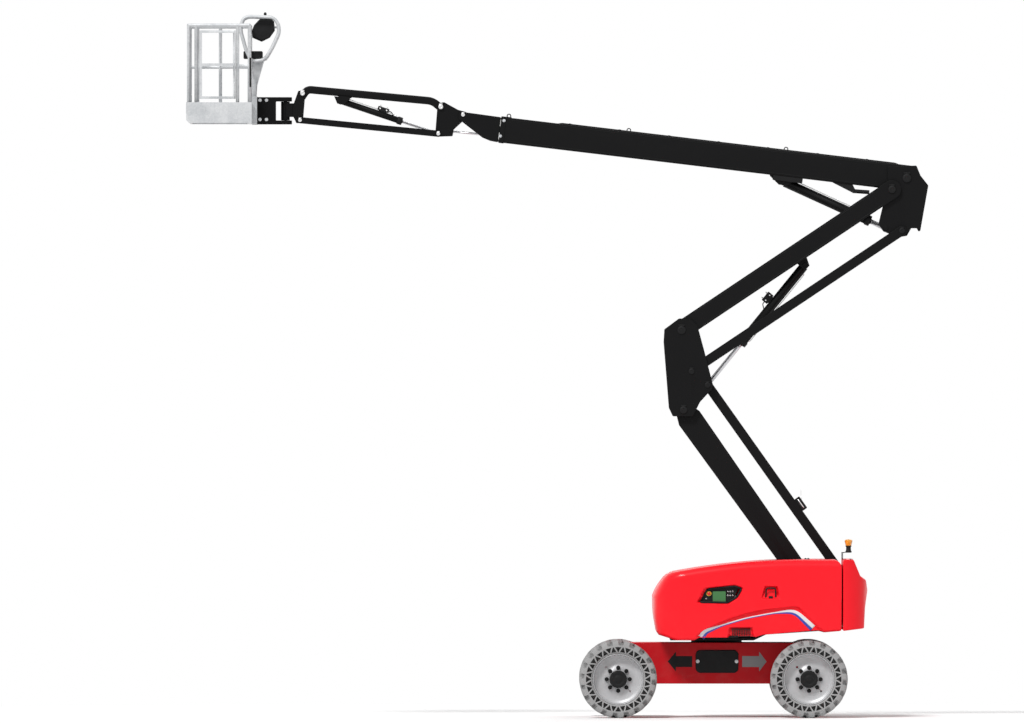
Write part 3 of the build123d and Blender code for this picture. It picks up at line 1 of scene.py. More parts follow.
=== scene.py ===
import json
import math
import bmesh
import bpy
import numpy as np
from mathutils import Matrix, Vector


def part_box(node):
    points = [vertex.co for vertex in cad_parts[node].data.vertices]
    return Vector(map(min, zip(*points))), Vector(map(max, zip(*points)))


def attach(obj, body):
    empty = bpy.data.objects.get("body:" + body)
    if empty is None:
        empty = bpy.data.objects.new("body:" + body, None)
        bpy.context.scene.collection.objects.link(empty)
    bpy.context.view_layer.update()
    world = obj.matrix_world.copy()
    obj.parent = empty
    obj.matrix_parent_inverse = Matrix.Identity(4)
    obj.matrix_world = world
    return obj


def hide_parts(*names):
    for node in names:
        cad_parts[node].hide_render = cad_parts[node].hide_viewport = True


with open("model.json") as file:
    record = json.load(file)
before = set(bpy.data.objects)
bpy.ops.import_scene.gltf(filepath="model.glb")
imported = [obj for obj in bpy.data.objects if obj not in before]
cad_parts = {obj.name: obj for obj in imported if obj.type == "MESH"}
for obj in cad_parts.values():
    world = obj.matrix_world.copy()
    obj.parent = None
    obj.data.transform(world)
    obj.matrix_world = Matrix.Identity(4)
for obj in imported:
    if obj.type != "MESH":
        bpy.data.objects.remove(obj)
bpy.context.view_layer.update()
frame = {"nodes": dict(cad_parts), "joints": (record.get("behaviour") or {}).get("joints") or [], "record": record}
joints = {joint["name"]: joint for joint in frame["joints"]}
acrossAxis = np.array([0.0, 1.0, 0.0])
upAxis = np.array([0.0, 0.0, 1.0])
print("frame loaded:", len(frame["nodes"]), "nodes")


def pivot(name):
    return np.array(joints[name]["pos_m"], float)


def corners(node):
    low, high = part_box(node)
    return np.array(low, float), np.array(high, float)


# A block is a pair: points as rows of x, y, z, and a list of face arrays, one row of indices for each face.


# Cells of a grid of points: each face joins four neighbours, and a closed direction wraps round
def gridBlock(grid, closedU=False, closedV=False):
    rows, columns = grid.shape[:2]
    index = np.arange(rows * columns).reshape(rows, columns)
    if closedU:
        index = np.vstack([index, index[:1]])
    if closedV:
        index = np.hstack([index, index[:, :1]])
    cells = [index[:-1, :-1], index[1:, :-1], index[1:, 1:], index[:-1, 1:]]
    return grid.reshape(-1, 3), [np.stack(cells, axis=-1).reshape(-1, 4)]


def joinBlocks(blocks):
    points, faces, start = [], [], 0
    for blockPoints, blockFaces in blocks:
        points.append(blockPoints)
        faces += [face + start for face in blockFaces]
        start += len(blockPoints)
    return np.vstack(points), faces


# The same block at many places: its points plus each place
def repeatBlock(block, places):
    points, faces = block
    places = np.asarray(places, float).reshape(-1, 3)
    moved = (points[None, :, :] + places[:, None, :]).reshape(-1, 3)
    shift = (np.arange(len(places)) * len(points))[:, None, None]
    return moved, [(face[None, :, :] + shift).reshape(-1, face.shape[1]) for face in faces]


# A solid of turning: each (distance along the axis, radius) goes round the axis through a full circle
def lathe(profile, centre, axis, steps=40):
    profile = np.asarray(profile, float)
    axis = np.asarray(axis, float) / np.linalg.norm(axis)
    first = np.cross(axis, upAxis if abs(axis[2]) < 0.9 else np.array([1.0, 0.0, 0.0]))
    first /= np.linalg.norm(first)
    second = np.cross(axis, first)
    turn = np.linspace(0, 2 * math.pi, steps, endpoint=False)
    ring = np.cos(turn)[:, None] * first + np.sin(turn)[:, None] * second
    grid = np.asarray(centre, float) + profile[:, None, :1] * axis + profile[:, None, 1:] * ring[None]
    return gridBlock(grid, closedV=True)


# A round bar along a path: at each station a circle stands square to the path, closed by its own centre
def tubeAlong(path, radius, sides=14, across=acrossAxis, closed=False):
    path = np.asarray(path, float)
    if closed:
        tangent = np.roll(path, -1, axis=0) - np.roll(path, 1, axis=0)
    else:
        tangent = np.gradient(path, axis=0)
    tangent /= np.linalg.norm(tangent, axis=1)[:, None]
    first = np.cross(tangent, across)
    first /= np.linalg.norm(first, axis=1)[:, None]
    second = np.cross(tangent, first)
    turn = np.linspace(0, 2 * math.pi, sides, endpoint=False)
    circle = np.cos(turn)[None, :, None] * first[:, None] + np.sin(turn)[None, :, None] * second[:, None]
    radius = np.broadcast_to(np.asarray(radius, float), (len(path),))
    grid = path[:, None] + radius[:, None, None] * circle
    if closed:
        return gridBlock(grid, closedU=True, closedV=True)
    ends = [np.broadcast_to(path[k], (1, sides, 3)) for k in (0, -1)]
    return gridBlock(np.concatenate([ends[0], grid, ends[1]]), closedV=True)


# A path with rounded corners: each corner gives way to a parabola between points a radius before and after it
def roundedPath(points, radius, steps=8):
    points = np.asarray(points, float)
    share = np.linspace(0, 1, steps)[:, None]
    pieces = [points[:1]]
    for before, corner, after in zip(points[:-2], points[1:-1], points[2:]):
        back, ahead = before - corner, after - corner
        reach = min(radius, np.linalg.norm(back) * 0.45, np.linalg.norm(ahead) * 0.45)
        start = corner + back / np.linalg.norm(back) * reach
        end = corner + ahead / np.linalg.norm(ahead) * reach
        pieces.append((1 - share) ** 2 * start + 2 * share * (1 - share) * corner + share**2 * end)
    return np.vstack(pieces + [points[-1:]])


# Outline of a rectangle whose corners are quarter circles
def roundRect(width, height, radius, steps=5):
    turn = np.linspace(0, math.pi / 2, steps)
    sides = []
    for quarter, (sx, sy) in enumerate(((1, 1), (-1, 1), (-1, -1), (1, -1))):
        centre = np.array([sx * (width / 2 - radius), sy * (height / 2 - radius)])
        angle = turn + quarter * math.pi / 2
        sides.append(centre + radius * np.stack([np.cos(angle), np.sin(angle)], axis=1))
    return np.vstack(sides)


# An outline moved inwards by a distance, each corner along the middle of its two sides' normals
def insetOutline(outline, distance):
    before = outline - np.roll(outline, 1, axis=0)
    after = np.roll(outline, -1, axis=0) - outline
    normals = []
    for step in (before, after):
        length = np.maximum(np.linalg.norm(step, axis=1), 1e-9)[:, None]
        normals.append(np.stack([-step[:, 1], step[:, 0]], axis=1) / length)
    middle = normals[0] + normals[1]
    size = np.maximum(np.linalg.norm(middle, axis=1), 1e-6)[:, None]
    reach = distance / np.maximum(np.sum(middle / size * normals[0], axis=1), 0.4)[:, None]
    area = np.sum(outline[:, 0] * np.roll(outline[:, 1], -1) - outline[:, 1] * np.roll(outline[:, 0], -1))
    return outline + math.copysign(1, area) * middle / size * reach


# A thick plate: its outline goes up from a bevelled lower rim to a bevelled upper rim, closed at the middle
def slab(outline, low, high, origin, axes, bevel=0.003):
    outline = np.asarray(outline, float)
    bevel = min(bevel, (high - low) * 0.45)
    inner = insetOutline(outline, bevel)
    centre = np.broadcast_to(outline.mean(axis=0), outline.shape)
    rings = [(centre, low), (inner, low), (outline, low + bevel)]
    rings += [(outline, high - bevel), (inner, high), (centre, high)]
    a, b, c = (np.asarray(axis, float) for axis in axes)
    grid = [np.asarray(origin) + ring[:, :1] * a + ring[:, 1:] * b + level * c for ring, level in rings]
    return gridBlock(np.stack(grid), closedV=True)


worldAxes = (np.array([1.0, 0.0, 0.0]), acrossAxis, upAxis)
flankAxes = (worldAxes[0], upAxis, acrossAxis)  # plates that stand along the machine


def boxBlock(low, high, bevel=0.004, radius=0.0):
    low, high = np.asarray(low, float), np.asarray(high, float)
    size, middle = high - low, (low + high) / 2
    outline = roundRect(size[0], size[1], max(radius, bevel), 4)
    return slab(outline, 0, size[2], (middle[0], middle[1], low[2]), worldAxes, bevel)


# A member's own axes: along it from one pin to the other, up square to it, and across the machine
def memberAxes(start, end):
    along = (end - start) / np.linalg.norm(end - start)
    up = np.array([-along[2], 0.0, along[0]])
    return along, up if up[2] > 0 else -up


def onMember(start, end, along, up, across):
    a, u = memberAxes(start, end)
    return start + along * a + up * u + across * acrossAxis


# A hexagon bolt head on its washer, facing along an axis
def boltBlock(size, axis, washer=True):
    axis = np.asarray(axis, float)
    side = np.cross(axis, upAxis if abs(axis[2]) < 0.9 else worldAxes[0])
    side /= np.linalg.norm(side)
    turn = np.arange(6) * math.pi / 3
    outline = size / 2 * 1.15 * np.stack([np.cos(turn), np.sin(turn)], axis=1)
    head = slab(outline, 0, size * 0.5, (0, 0, 0), (side, np.cross(axis, side), axis), size * 0.07)
    if not washer:
        return head
    disc = lathe([(0, 0), (0, size * 0.85), (size * 0.12, size * 0.85), (size * 0.12, 0)], (0, 0, 0), axis,
                 14)
    return joinBlocks([head, disc])


def bolts(places, size, axis, washer=True):
    return repeatBlock(boltBlock(size, axis, washer), places)


# Puts blocks into one mesh: doubles merged, faces turned outwards, edges kept sharp over an angle
def makePiece(name, blocks, body, material, crease=32, replaces=(), closedShell=True):
    points, faces = joinBlocks(blocks)
    mesh = bpy.data.meshes.new(name)
    mesh.vertices.add(len(points))
    mesh.vertices.foreach_set("co", np.ascontiguousarray(points, dtype=np.float32).ravel())
    loops = np.concatenate([face.ravel() for face in faces]).astype(np.int32)
    sizes = np.concatenate([np.full(len(face), face.shape[1]) for face in faces])
    starts = np.concatenate([[0], np.cumsum(sizes)[:-1]]).astype(np.int32)
    mesh.loops.add(len(loops))
    mesh.loops.foreach_set("vertex_index", loops)
    mesh.polygons.add(len(sizes))
    mesh.polygons.foreach_set("loop_start", starts)
    mesh.update(calc_edges=True)
    mesh.validate()
    work = bmesh.new()
    work.from_mesh(mesh)
    bmesh.ops.remove_doubles(work, verts=work.verts, dist=2e-6)
    bmesh.ops.dissolve_degenerate(work, edges=work.edges, dist=1e-7)
    if closedShell:
        bmesh.ops.recalc_face_normals(work, faces=work.faces)
    work.to_mesh(mesh)
    work.free()
    mesh.shade_smooth()
    mesh.set_sharp_from_angle(angle=math.radians(crease))
    piece = bpy.data.objects.new(name, mesh)
    bpy.context.collection.objects.link(piece)
    mesh.materials.append(material)
    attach(piece, body)
    if replaces:
        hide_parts(*replaces)
    return piece


# A CAD node's own mesh as a piece: flat faces joined, a small rounded edge all round, flats kept flat
def dressNode(node, edge=0.003, finishName=None, segments=2):
    mesh = frame["nodes"][node].data.copy()
    mesh.name = f"dressed_{node}"
    work = bmesh.new()
    work.from_mesh(mesh)
    bmesh.ops.remove_doubles(work, verts=work.verts, dist=2e-5)
    if edge:
        bmesh.ops.dissolve_degenerate(work, edges=work.edges, dist=2e-5)
        bmesh.ops.dissolve_limit(work, angle_limit=math.radians(1.0), verts=work.verts, edges=work.edges)
    work.to_mesh(mesh)
    work.free()
    mesh.shade_smooth()
    mesh.set_sharp_from_angle(angle=math.radians(30))
    mesh.materials.clear()
    mesh.materials.append(finishes[finishName or slotFinish[slotOf[node]]])
    piece = bpy.data.objects.new(mesh.name, mesh)
    bpy.context.collection.objects.link(piece)
    if edge:
        bevel = piece.modifiers.new("edges", "BEVEL")
        bevel.width = edge
        bevel.segments = segments
        bevel.limit_method = "ANGLE"
        bevel.angle_limit = math.radians(32)
        bevel.use_clamp_overlap = False
        bevel.harden_normals = True
    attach(piece, bodyOf[node])
    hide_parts(node)
    return piece


def newGroup(name, inputs, outputs):
    group = bpy.data.node_groups.new(name, "ShaderNodeTree")
    for label, kind, value in inputs:
        socket = group.interface.new_socket(label, in_out="INPUT", socket_type="NodeSocket" + kind)
        socket.default_value = value
    for label, kind in outputs:
        group.interface.new_socket(label, in_out="OUTPUT", socket_type="NodeSocket" + kind)
    return group, group.nodes.new("NodeGroupInput"), group.nodes.new("NodeGroupOutput")


def addNode(tree, kind, **settings):
    node = tree.nodes.new(kind)
    for key, value in settings.items():
        setattr(node, key, value)
    return node


def mathNode(tree, operation, first, second=None, third=None, clamp=False):
    node = addNode(tree, "ShaderNodeMath", operation=operation, use_clamp=clamp)
    for socket, value in zip(node.inputs, (first, second, third)):
        if value is None:
            continue
        if isinstance(value, (int, float)):
            socket.default_value = value
        else:
            tree.links.new(value, socket)
    return node.outputs[0]


def noiseNode(tree, vector, scale, detail=3.0, roughness=0.5, distortion=0.0):
    node = addNode(tree, "ShaderNodeTexNoise")
    tree.links.new(vector, node.inputs["Vector"])
    node.inputs["Scale"].default_value = scale
    node.inputs["Detail"].default_value = detail
    node.inputs["Roughness"].default_value = roughness
    node.inputs["Distortion"].default_value = distortion
    return node.outputs["Fac"]


def rampBetween(tree, value, low, high):
    node = addNode(tree, "ShaderNodeMapRange", interpolation_type="SMOOTHSTEP")
    tree.links.new(value, node.inputs["Value"])
    node.inputs["From Min"].default_value = low
    node.inputs["From Max"].default_value = high
    return node.outputs["Result"]


def mixColour(tree, share, first, second, blend="MIX"):
    node = addNode(tree, "ShaderNodeMix", data_type="RGBA", blend_type=blend)
    for socket, value in ((node.inputs[0], share), (node.inputs[6], first), (node.inputs[7], second)):
        if isinstance(value, (int, float, tuple)):
            socket.default_value = value
        else:
            tree.links.new(value, socket)
    return node.outputs[2]


# Sprayed paint: slow drifts of tone, a thin haze of road dust that thickens low down, and orange peel
def makePaintSkin():
    group, source, sink = newGroup(
        "paintSkin",
        [
            ("Place", "Vector", (0, 0, 0)),
            ("Paint", "Color", (0.5, 0.5, 0.5, 1)),
            ("Haze", "Color", (0.3, 0.27, 0.23, 1)),
            ("Haze Amount", "Float", 0.1),
            ("Sheen Breakup", "Float", 0.08),
            ("Gloss", "Float", 0.3),
        ],
        [("Colour", "Color"), ("Roughness", "Float"), ("Height", "Float")],
    )
    place = source.outputs["Place"]
    drift = noiseNode(group, place, 1.7, 4.0, 0.55)
    patch = noiseNode(group, place, 6.5, 6.0, 0.62, 0.4)
    peel = noiseNode(group, place, 260.0, 2.0, 0.5)
    split = addNode(group, "ShaderNodeSeparateXYZ")
    group.links.new(place, split.inputs[0])
    low = mathNode(group, "SUBTRACT", 1.0, rampBetween(group, split.outputs["Z"], 0.2, 1.6))
    mask = mathNode(group, "MULTIPLY", rampBetween(group, patch, 0.42, 0.75), mathNode(group, "ADD", low,
            0.25))
    mask = mathNode(group, "MULTIPLY", mask, source.outputs["Haze Amount"], clamp=True)
    tone = mathNode(group, "MULTIPLY_ADD", drift, 0.16, 0.92)
    shade = addNode(group, "ShaderNodeCombineColor")
    for socket in shade.inputs:
        group.links.new(tone, socket)
    painted = mixColour(group, 1.0, source.outputs["Paint"], shade.outputs[0], "MULTIPLY")
    group.links.new(mixColour(group, mask, painted, source.outputs["Haze"]), sink.inputs["Colour"])
    uneven = mathNode(group, "MULTIPLY", mathNode(group, "SUBTRACT", patch, 0.5),
                      source.outputs["Sheen Breakup"])
    gloss = mathNode(group, "ADD", source.outputs["Gloss"], uneven)
    gloss = mathNode(group, "ADD", gloss, mathNode(group, "MULTIPLY", mask, 0.5), clamp=True)
    group.links.new(gloss, sink.inputs["Roughness"])
    group.links.new(peel, sink.inputs["Height"])
    return group


# Hot-dip zinc: crystals as cells of uneven brightness, with dull runs between them
def makeZincSpangle():
    group, source, sink = newGroup(
        "zincSpangle",
        [
            ("Place", "Vector", (0, 0, 0)),
            ("Light", "Color", (0.78, 0.79, 0.8, 1)),
            ("Dark", "Color", (0.5, 0.52, 0.54, 1)),
            ("Gloss", "Float", 0.4),
        ],
        [("Colour", "Color"), ("Roughness", "Float"), ("Height", "Float")],
    )
    place = source.outputs["Place"]
    cells = addNode(group, "ShaderNodeTexVoronoi")
    cells.inputs["Scale"].default_value = 55.0
    group.links.new(place, cells.inputs["Vector"])
    grey = addNode(group, "ShaderNodeRGBToBW")
    group.links.new(cells.outputs["Color"], grey.inputs[0])
    runs = rampBetween(group, noiseNode(group, place, 5.0, 5.0, 0.6, 0.5), 0.35, 0.75)
    share = mathNode(group, "MULTIPLY_ADD", grey.outputs[0], 0.35, mathNode(group, "MULTIPLY", runs, 0.55))
    colour = mixColour(group, share, source.outputs["Light"], source.outputs["Dark"])
    group.links.new(colour, sink.inputs["Colour"])
    rough = mathNode(group, "MULTIPLY_ADD", grey.outputs[0], 0.16, source.outputs["Gloss"])
    group.links.new(mathNode(group, "ADD", rough, mathNode(group, "MULTIPLY", runs, 0.1)),
                    sink.inputs["Roughness"])
    group.links.new(noiseNode(group, place, 120.0, 2.0), sink.inputs["Height"])
    return group


# Rubber and grained plastic: fine pebbles, cloudy bloom and pale scuffs
def makeMouldedGrain():
    group, source, sink = newGroup(
        "mouldedGrain",
        [
            ("Place", "Vector", (0, 0, 0)),
            ("Base", "Color", (0.1, 0.1, 0.1, 1)),
            ("Bloom", "Color", (0.3, 0.3, 0.3, 1)),
            ("Bloom Amount", "Float", 0.3),
            ("Grain Size", "Float", 300.0),
            ("Gloss", "Float", 0.7),
        ],
        [("Colour", "Color"), ("Roughness", "Float"), ("Height", "Float")],
    )
    place = source.outputs["Place"]
    cloud = rampBetween(group, noiseNode(group, place, 4.5, 5.0, 0.65, 0.3), 0.3, 0.8)
    scuff = rampBetween(group, noiseNode(group, place, 34.0, 4.0, 0.7, 0.8), 0.56, 0.74)
    pebble = addNode(group, "ShaderNodeTexVoronoi", feature="SMOOTH_F1")
    group.links.new(place, pebble.inputs["Vector"])
    group.links.new(source.outputs["Grain Size"], pebble.inputs["Scale"])
    mask = mathNode(group, "MULTIPLY_ADD", scuff, 0.5, cloud)
    mask = mathNode(group, "MULTIPLY", mask, source.outputs["Bloom Amount"], clamp=True)
    group.links.new(mixColour(group, mask, source.outputs["Base"], source.outputs["Bloom"]),
                    sink.inputs["Colour"])
    rough = mathNode(group, "MULTIPLY_ADD", mask, 0.25, source.outputs["Gloss"], clamp=True)
    group.links.new(rough, sink.inputs["Roughness"])
    group.links.new(pebble.outputs["Distance"], sink.inputs["Height"])
    return group


# Drawn or ground metal: long fine lines along one direction and a few dull stains
def makeBrushedSkin():
    group, source, sink = newGroup(
        "brushedSkin",
        [
            ("Place", "Vector", (0, 0, 0)),
            ("Metal", "Color", (0.8, 0.8, 0.82, 1)),
            ("Stain", "Color", (0.35, 0.33, 0.3, 1)),
            ("Stain Amount", "Float", 0.1),
            ("Gloss", "Float", 0.12),
        ],
        [("Colour", "Color"), ("Roughness", "Float"), ("Height", "Float")],
    )
    place = source.outputs["Place"]
    stretch = addNode(group, "ShaderNodeMapping")
    stretch.inputs["Scale"].default_value = (9.0, 70.0, 70.0)
    group.links.new(place, stretch.inputs["Vector"])
    lines = noiseNode(group, stretch.outputs[0], 1.0, 3.0)
    stain = rampBetween(group, noiseNode(group, place, 14.0, 5.0, 0.6, 0.6), 0.55, 0.8)
    mask = mathNode(group, "MULTIPLY", stain, source.outputs["Stain Amount"])
    group.links.new(mixColour(group, mask, source.outputs["Metal"], source.outputs["Stain"]),
                    sink.inputs["Colour"])
    rough = mathNode(group, "MULTIPLY_ADD", lines, 0.08, source.outputs["Gloss"])
    group.links.new(mathNode(group, "ADD", rough, mathNode(group, "MULTIPLY", mask, 0.4)),
                    sink.inputs["Roughness"])
    group.links.new(lines, sink.inputs["Height"])
    return group


skins = {
    "paint": makePaintSkin(),
    "zinc": makeZincSpangle(),
    "grain": makeMouldedGrain(),
    "brushed": makeBrushedSkin(),
}


# A finish: one skin group gives colour, roughness and height to a Principled shader
def finish(name, skin, values, bump=0.02, bumpDistance=0.001, **shaderValues):
    material = bpy.data.materials.new(name)
    material.use_nodes = True
    tree = material.node_tree
    shader = tree.nodes["Principled BSDF"]
    place = addNode(tree, "ShaderNodeTexCoord")
    group = addNode(tree, "ShaderNodeGroup", node_tree=skins[skin])
    tree.links.new(place.outputs["Object"], group.inputs["Place"])
    for label, value in values.items():
        group.inputs[label].default_value = (*value, 1) if isinstance(value, tuple) else value
    tree.links.new(group.outputs["Colour"], shader.inputs["Base Color"])
    tree.links.new(group.outputs["Roughness"], shader.inputs["Roughness"])
    relief = addNode(tree, "ShaderNodeBump")
    relief.inputs["Strength"].default_value = bump
    relief.inputs["Distance"].default_value = bumpDistance
    tree.links.new(group.outputs["Height"], relief.inputs["Height"])
    tree.links.new(relief.outputs["Normal"], shader.inputs["Normal"])
    for label, value in shaderValues.items():
        shader.inputs[label.replace("_", " ")].default_value = value
    return material


brightRed = (0.93, 0.007, 0.017)
finishes = {
    "hoodRed": finish(
        "hoodRed", "paint", {"Paint": brightRed, "Haze Amount": 0.02, "Gloss": 0.32}, 0.02,
        Coat_Weight=0.22, Coat_Roughness=0.05, Specular_IOR_Level=0.1,
    ),
    "chassisRed": finish(
        "chassisRed", "paint", {"Paint": (0.52, 0.006, 0.012), "Haze Amount": 0.06, "Gloss": 0.42}, 0.04,
        Specular_IOR_Level=0.15,
    ),
    "armBlack": finish(
        "armBlack", "paint",
        {"Paint": (0.0052, 0.0052, 0.0055), "Haze": (0.02, 0.019, 0.018), "Haze Amount": 0.12, "Gloss": 0.44},
        0.06, Specular_IOR_Level=0.1,
    ),
    "steelBlack": finish(
        "steelBlack", "paint",
        {"Paint": (0.009, 0.009, 0.0095), "Haze": (0.05, 0.046, 0.042), "Haze Amount": 0.15, "Gloss": 0.5},
        0.08,
        Specular_IOR_Level=0.15,
    ),
    "plasticBlack": finish(
        "plasticBlack", "grain", {"Base": (0.008, 0.008, 0.0085), "Bloom": (0.03, 0.03, 0.031), "Gloss": 0.5},
        0.25, 0.0006, Specular_IOR_Level=0.15,
    ),
    "hoseBlack": finish(
        "hoseBlack", "grain", {"Base": (0.009, 0.009, 0.009), "Bloom": (0.03, 0.03, 0.03), "Gloss": 0.55},
        0.2, 0.0005, Specular_IOR_Level=0.15,
    ),
    "tyreGrey": finish(
        "tyreGrey", "grain",
        {"Base": (0.3, 0.3, 0.3), "Bloom": (0.42, 0.41, 0.41), "Bloom Amount": 0.35, "Gloss": 0.72}, 0.3,
        0.001, Specular_IOR_Level=0.2,
    ),
    "rimSilver": finish(
        "rimSilver", "paint",
        {"Paint": (0.44, 0.44, 0.45), "Haze": (0.24, 0.23, 0.21), "Haze Amount": 0.25, "Gloss": 0.4}, 0.05,
        Metallic=0.25,
    ),
    "zinc": finish(
        "zinc", "zinc", {"Light": (0.7, 0.71, 0.72), "Dark": (0.45, 0.47, 0.49)}, 0.06, Metallic=0.35
    ),
    "chrome": finish("chrome", "brushed", {"Gloss": 0.16, "Metal": (0.62, 0.62, 0.64)}, 0.002, Metallic=1.0),
    "boltZinc": finish(
        "boltZinc", "brushed", {"Metal": (0.72, 0.72, 0.72), "Stain Amount": 0.4, "Gloss": 0.28}, 0.02,
        Metallic=0.9
    ),
    "padWhite": finish("padWhite", "grain", {"Base": (0.62, 0.62, 0.6), "Bloom": (0.45, 0.44, 0.42),
                                             "Gloss": 0.5}, 0.1),
    "castGrey": finish(
        "castGrey", "grain", {"Base": (0.2, 0.2, 0.2), "Bloom": (0.3, 0.3, 0.3), "Gloss": 0.5}, 0.3,
        Metallic=0.6
    ),
    "stripeWhite": finish(
        "stripeWhite", "paint", {"Paint": (0.72, 0.72, 0.74), "Haze Amount": 0.03, "Gloss": 0.3}, 0.02
    ),
    "stripeBlue": finish(
        "stripeBlue", "paint", {"Paint": (0.03, 0.05, 0.36), "Haze Amount": 0.03, "Gloss": 0.3}, 0.02
    ),
    "arrowGrey": finish("arrowGrey", "paint", {"Paint": (0.22, 0.22, 0.225), "Haze Amount": 0.1,
                                               "Gloss": 0.4}, 0.02),
    "displayGreen": finish("displayGreen", "paint", {"Paint": (0.04, 0.17, 0.045), "Haze Amount": 0.0,
                                                     "Gloss": 0.15}, 0.0),
    "buttonRed": finish("buttonRed", "paint", {"Paint": (0.6, 0.012, 0.01), "Haze Amount": 0.0,
                                               "Gloss": 0.3}, 0.0),
    "buttonYellow": finish("buttonYellow", "paint", {"Paint": (0.8, 0.5, 0.02), "Haze Amount": 0.0,
                                                     "Gloss": 0.35}, 0.0),
    "amber": finish(
        "amber", "paint", {"Paint": (0.98, 0.45, 0.03), "Haze Amount": 0.0, "Gloss": 0.12}, 0.0,
        Coat_Weight=0.5, Transmission_Weight=0.35,
    ),
}


# Painted shade in the tyre's grooves: an attribute of the mesh, the share of each lowered place, mixes the rubber
# colour towards dark grey
def paintGrooveShade(material):
    tree = material.node_tree
    shader = tree.nodes["Principled BSDF"]
    base = shader.inputs["Base Color"].links[0].from_socket
    grooveShade = addNode(tree, "ShaderNodeAttribute", attribute_name="grooveShade")
    # painted shade: the lowered places of the tread are mixed up to 62% towards dark grey
    share = mathNode(tree, "MULTIPLY", grooveShade.outputs["Fac"], 0.62)
    tree.links.new(mixColour(tree, share, base, (0.1, 0.1, 0.1, 1)), shader.inputs["Base Color"])


paintGrooveShade(finishes["tyreGrey"])

# the record's slots and the finish that each CAD node's own surface gets
slotFinish = {
    "tyre_grey": "tyreGrey", "rim_grey": "rimSilver", "chassis_red": "chassisRed",
    "cover_black": "plasticBlack",
    "steel_dark": "steelBlack", "frame_black": "armBlack", "weight_red": "hoodRed", "hood_red": "hoodRed",
    "panel_black": "plasticBlack", "engine_grey": "castGrey", "tank_black": "plasticBlack",
    "beacon_amber": "amber", "barrel_black": "armBlack", "rod_chrome": "chrome", "basket_grey": "zinc",
}
slotOf = {part["node"]: part["material_slot"] for part in frame["record"]["subparts"]}
bodyOf = {node: body for body, nodes in frame["record"]["behaviour"]["bodies"].items() for node in nodes}
for nodeName, nodeObject in frame["nodes"].items():
    nodeObject.data.materials.clear()
    nodeObject.data.materials.append(finishes[slotFinish[slotOf[nodeName]]])
print("finishes made:", len(finishes))


view = {"middle": (-2.46, 4.272), "width": 12.288, "lens": 1000.0, "sensor": 36.0, "nearPlane": -1.0}


def buildStudio():
    white = bpy.data.materials.new("floorWhite")
    white.use_nodes = True
    shader = white.node_tree.nodes["Principled BSDF"]
    shader.inputs["Base Color"].default_value = (0.93, 0.93, 0.93, 1)
    shader.inputs["Roughness"].default_value = 0.9
    shader.inputs["Specular IOR Level"].default_value = 0.0
    points, faces = lathe([(0, 0), (0, 12.0)], (-1.6, 0, 0), (0, 0, 1), 96)
    mesh = bpy.data.meshes.new("studioFloor")
    mesh.from_pydata(points.tolist(), [], faces[0].tolist())
    mesh.validate()
    work = bmesh.new()
    work.from_mesh(mesh)
    bmesh.ops.remove_doubles(work, verts=work.verts, dist=1e-6)
    work.to_mesh(mesh)
    work.free()
    mesh.materials.append(white)
    floor = bpy.data.objects.new("studioFloor", mesh)
    bpy.context.collection.objects.link(floor)
    world = bpy.data.worlds.new("studioWorld")
    bpy.context.scene.world = world
    world.use_nodes = True
    tree = world.node_tree
    tree.nodes.clear()
    rays = addNode(tree, "ShaderNodeLightPath")
    seen = mathNode(tree, "MAXIMUM", rays.outputs["Is Camera Ray"], rays.outputs["Is Glossy Ray"])
    seen = mathNode(tree, "MAXIMUM", seen, rays.outputs["Is Transmission Ray"])
    soft, plain = addNode(tree, "ShaderNodeBackground"), addNode(tree, "ShaderNodeBackground")
    soft.inputs["Strength"].default_value = 0.42
    mix, out = addNode(tree, "ShaderNodeMixShader"), addNode(tree, "ShaderNodeOutputWorld")
    soft.inputs["Color"].default_value = plain.inputs["Color"].default_value = (1, 1, 1, 1)
    tree.links.new(seen, mix.inputs[0])
    tree.links.new(soft.outputs[0], mix.inputs[1])
    tree.links.new(plain.outputs[0], mix.inputs[2])
    tree.links.new(mix.outputs[0], out.inputs["Surface"])
    for name, strength, tilt, turn, spread in (("keySun", 2.5, 42, -28, 14), ("backSun", 0.7, 55, 150, 30)):
        light = bpy.data.lights.new(name, "SUN")
        light.energy = strength
        light.angle = math.radians(spread)
        lamp = bpy.data.objects.new(name, light)
        lamp.rotation_euler = (math.radians(tilt), 0, math.radians(turn))
        bpy.context.collection.objects.link(lamp)
    camera = bpy.data.cameras.new("viewCamera")
    camera.lens = view["lens"]
    camera.sensor_width = view["sensor"]
    distance = view["lens"] / view["sensor"] * view["width"]
    camera.clip_start, camera.clip_end = 10.0, 1000.0
    eye = bpy.data.objects.new("viewCamera", camera)
    eye.location = (view["middle"][0], view["nearPlane"] - distance, view["middle"][1])
    eye.rotation_euler = (math.radians(90), 0, 0)
    bpy.context.collection.objects.link(eye)
    bpy.context.scene.camera = eye
    bpy.context.scene.view_settings.view_transform = "Standard"


buildStudio()
print("studio ready")


tyreShape = {
    "pitches": 20, "lugPitches": 20, "seatRadius": 0.306, "holeInner": 0.327, "holeOuter": 0.386,
    "holeDepth": 0.09,
    "treadRadius": 0.437, "lugRadius": 0.4645, "halfWidth": 0.177, "shoulderCut": 0.022,
}


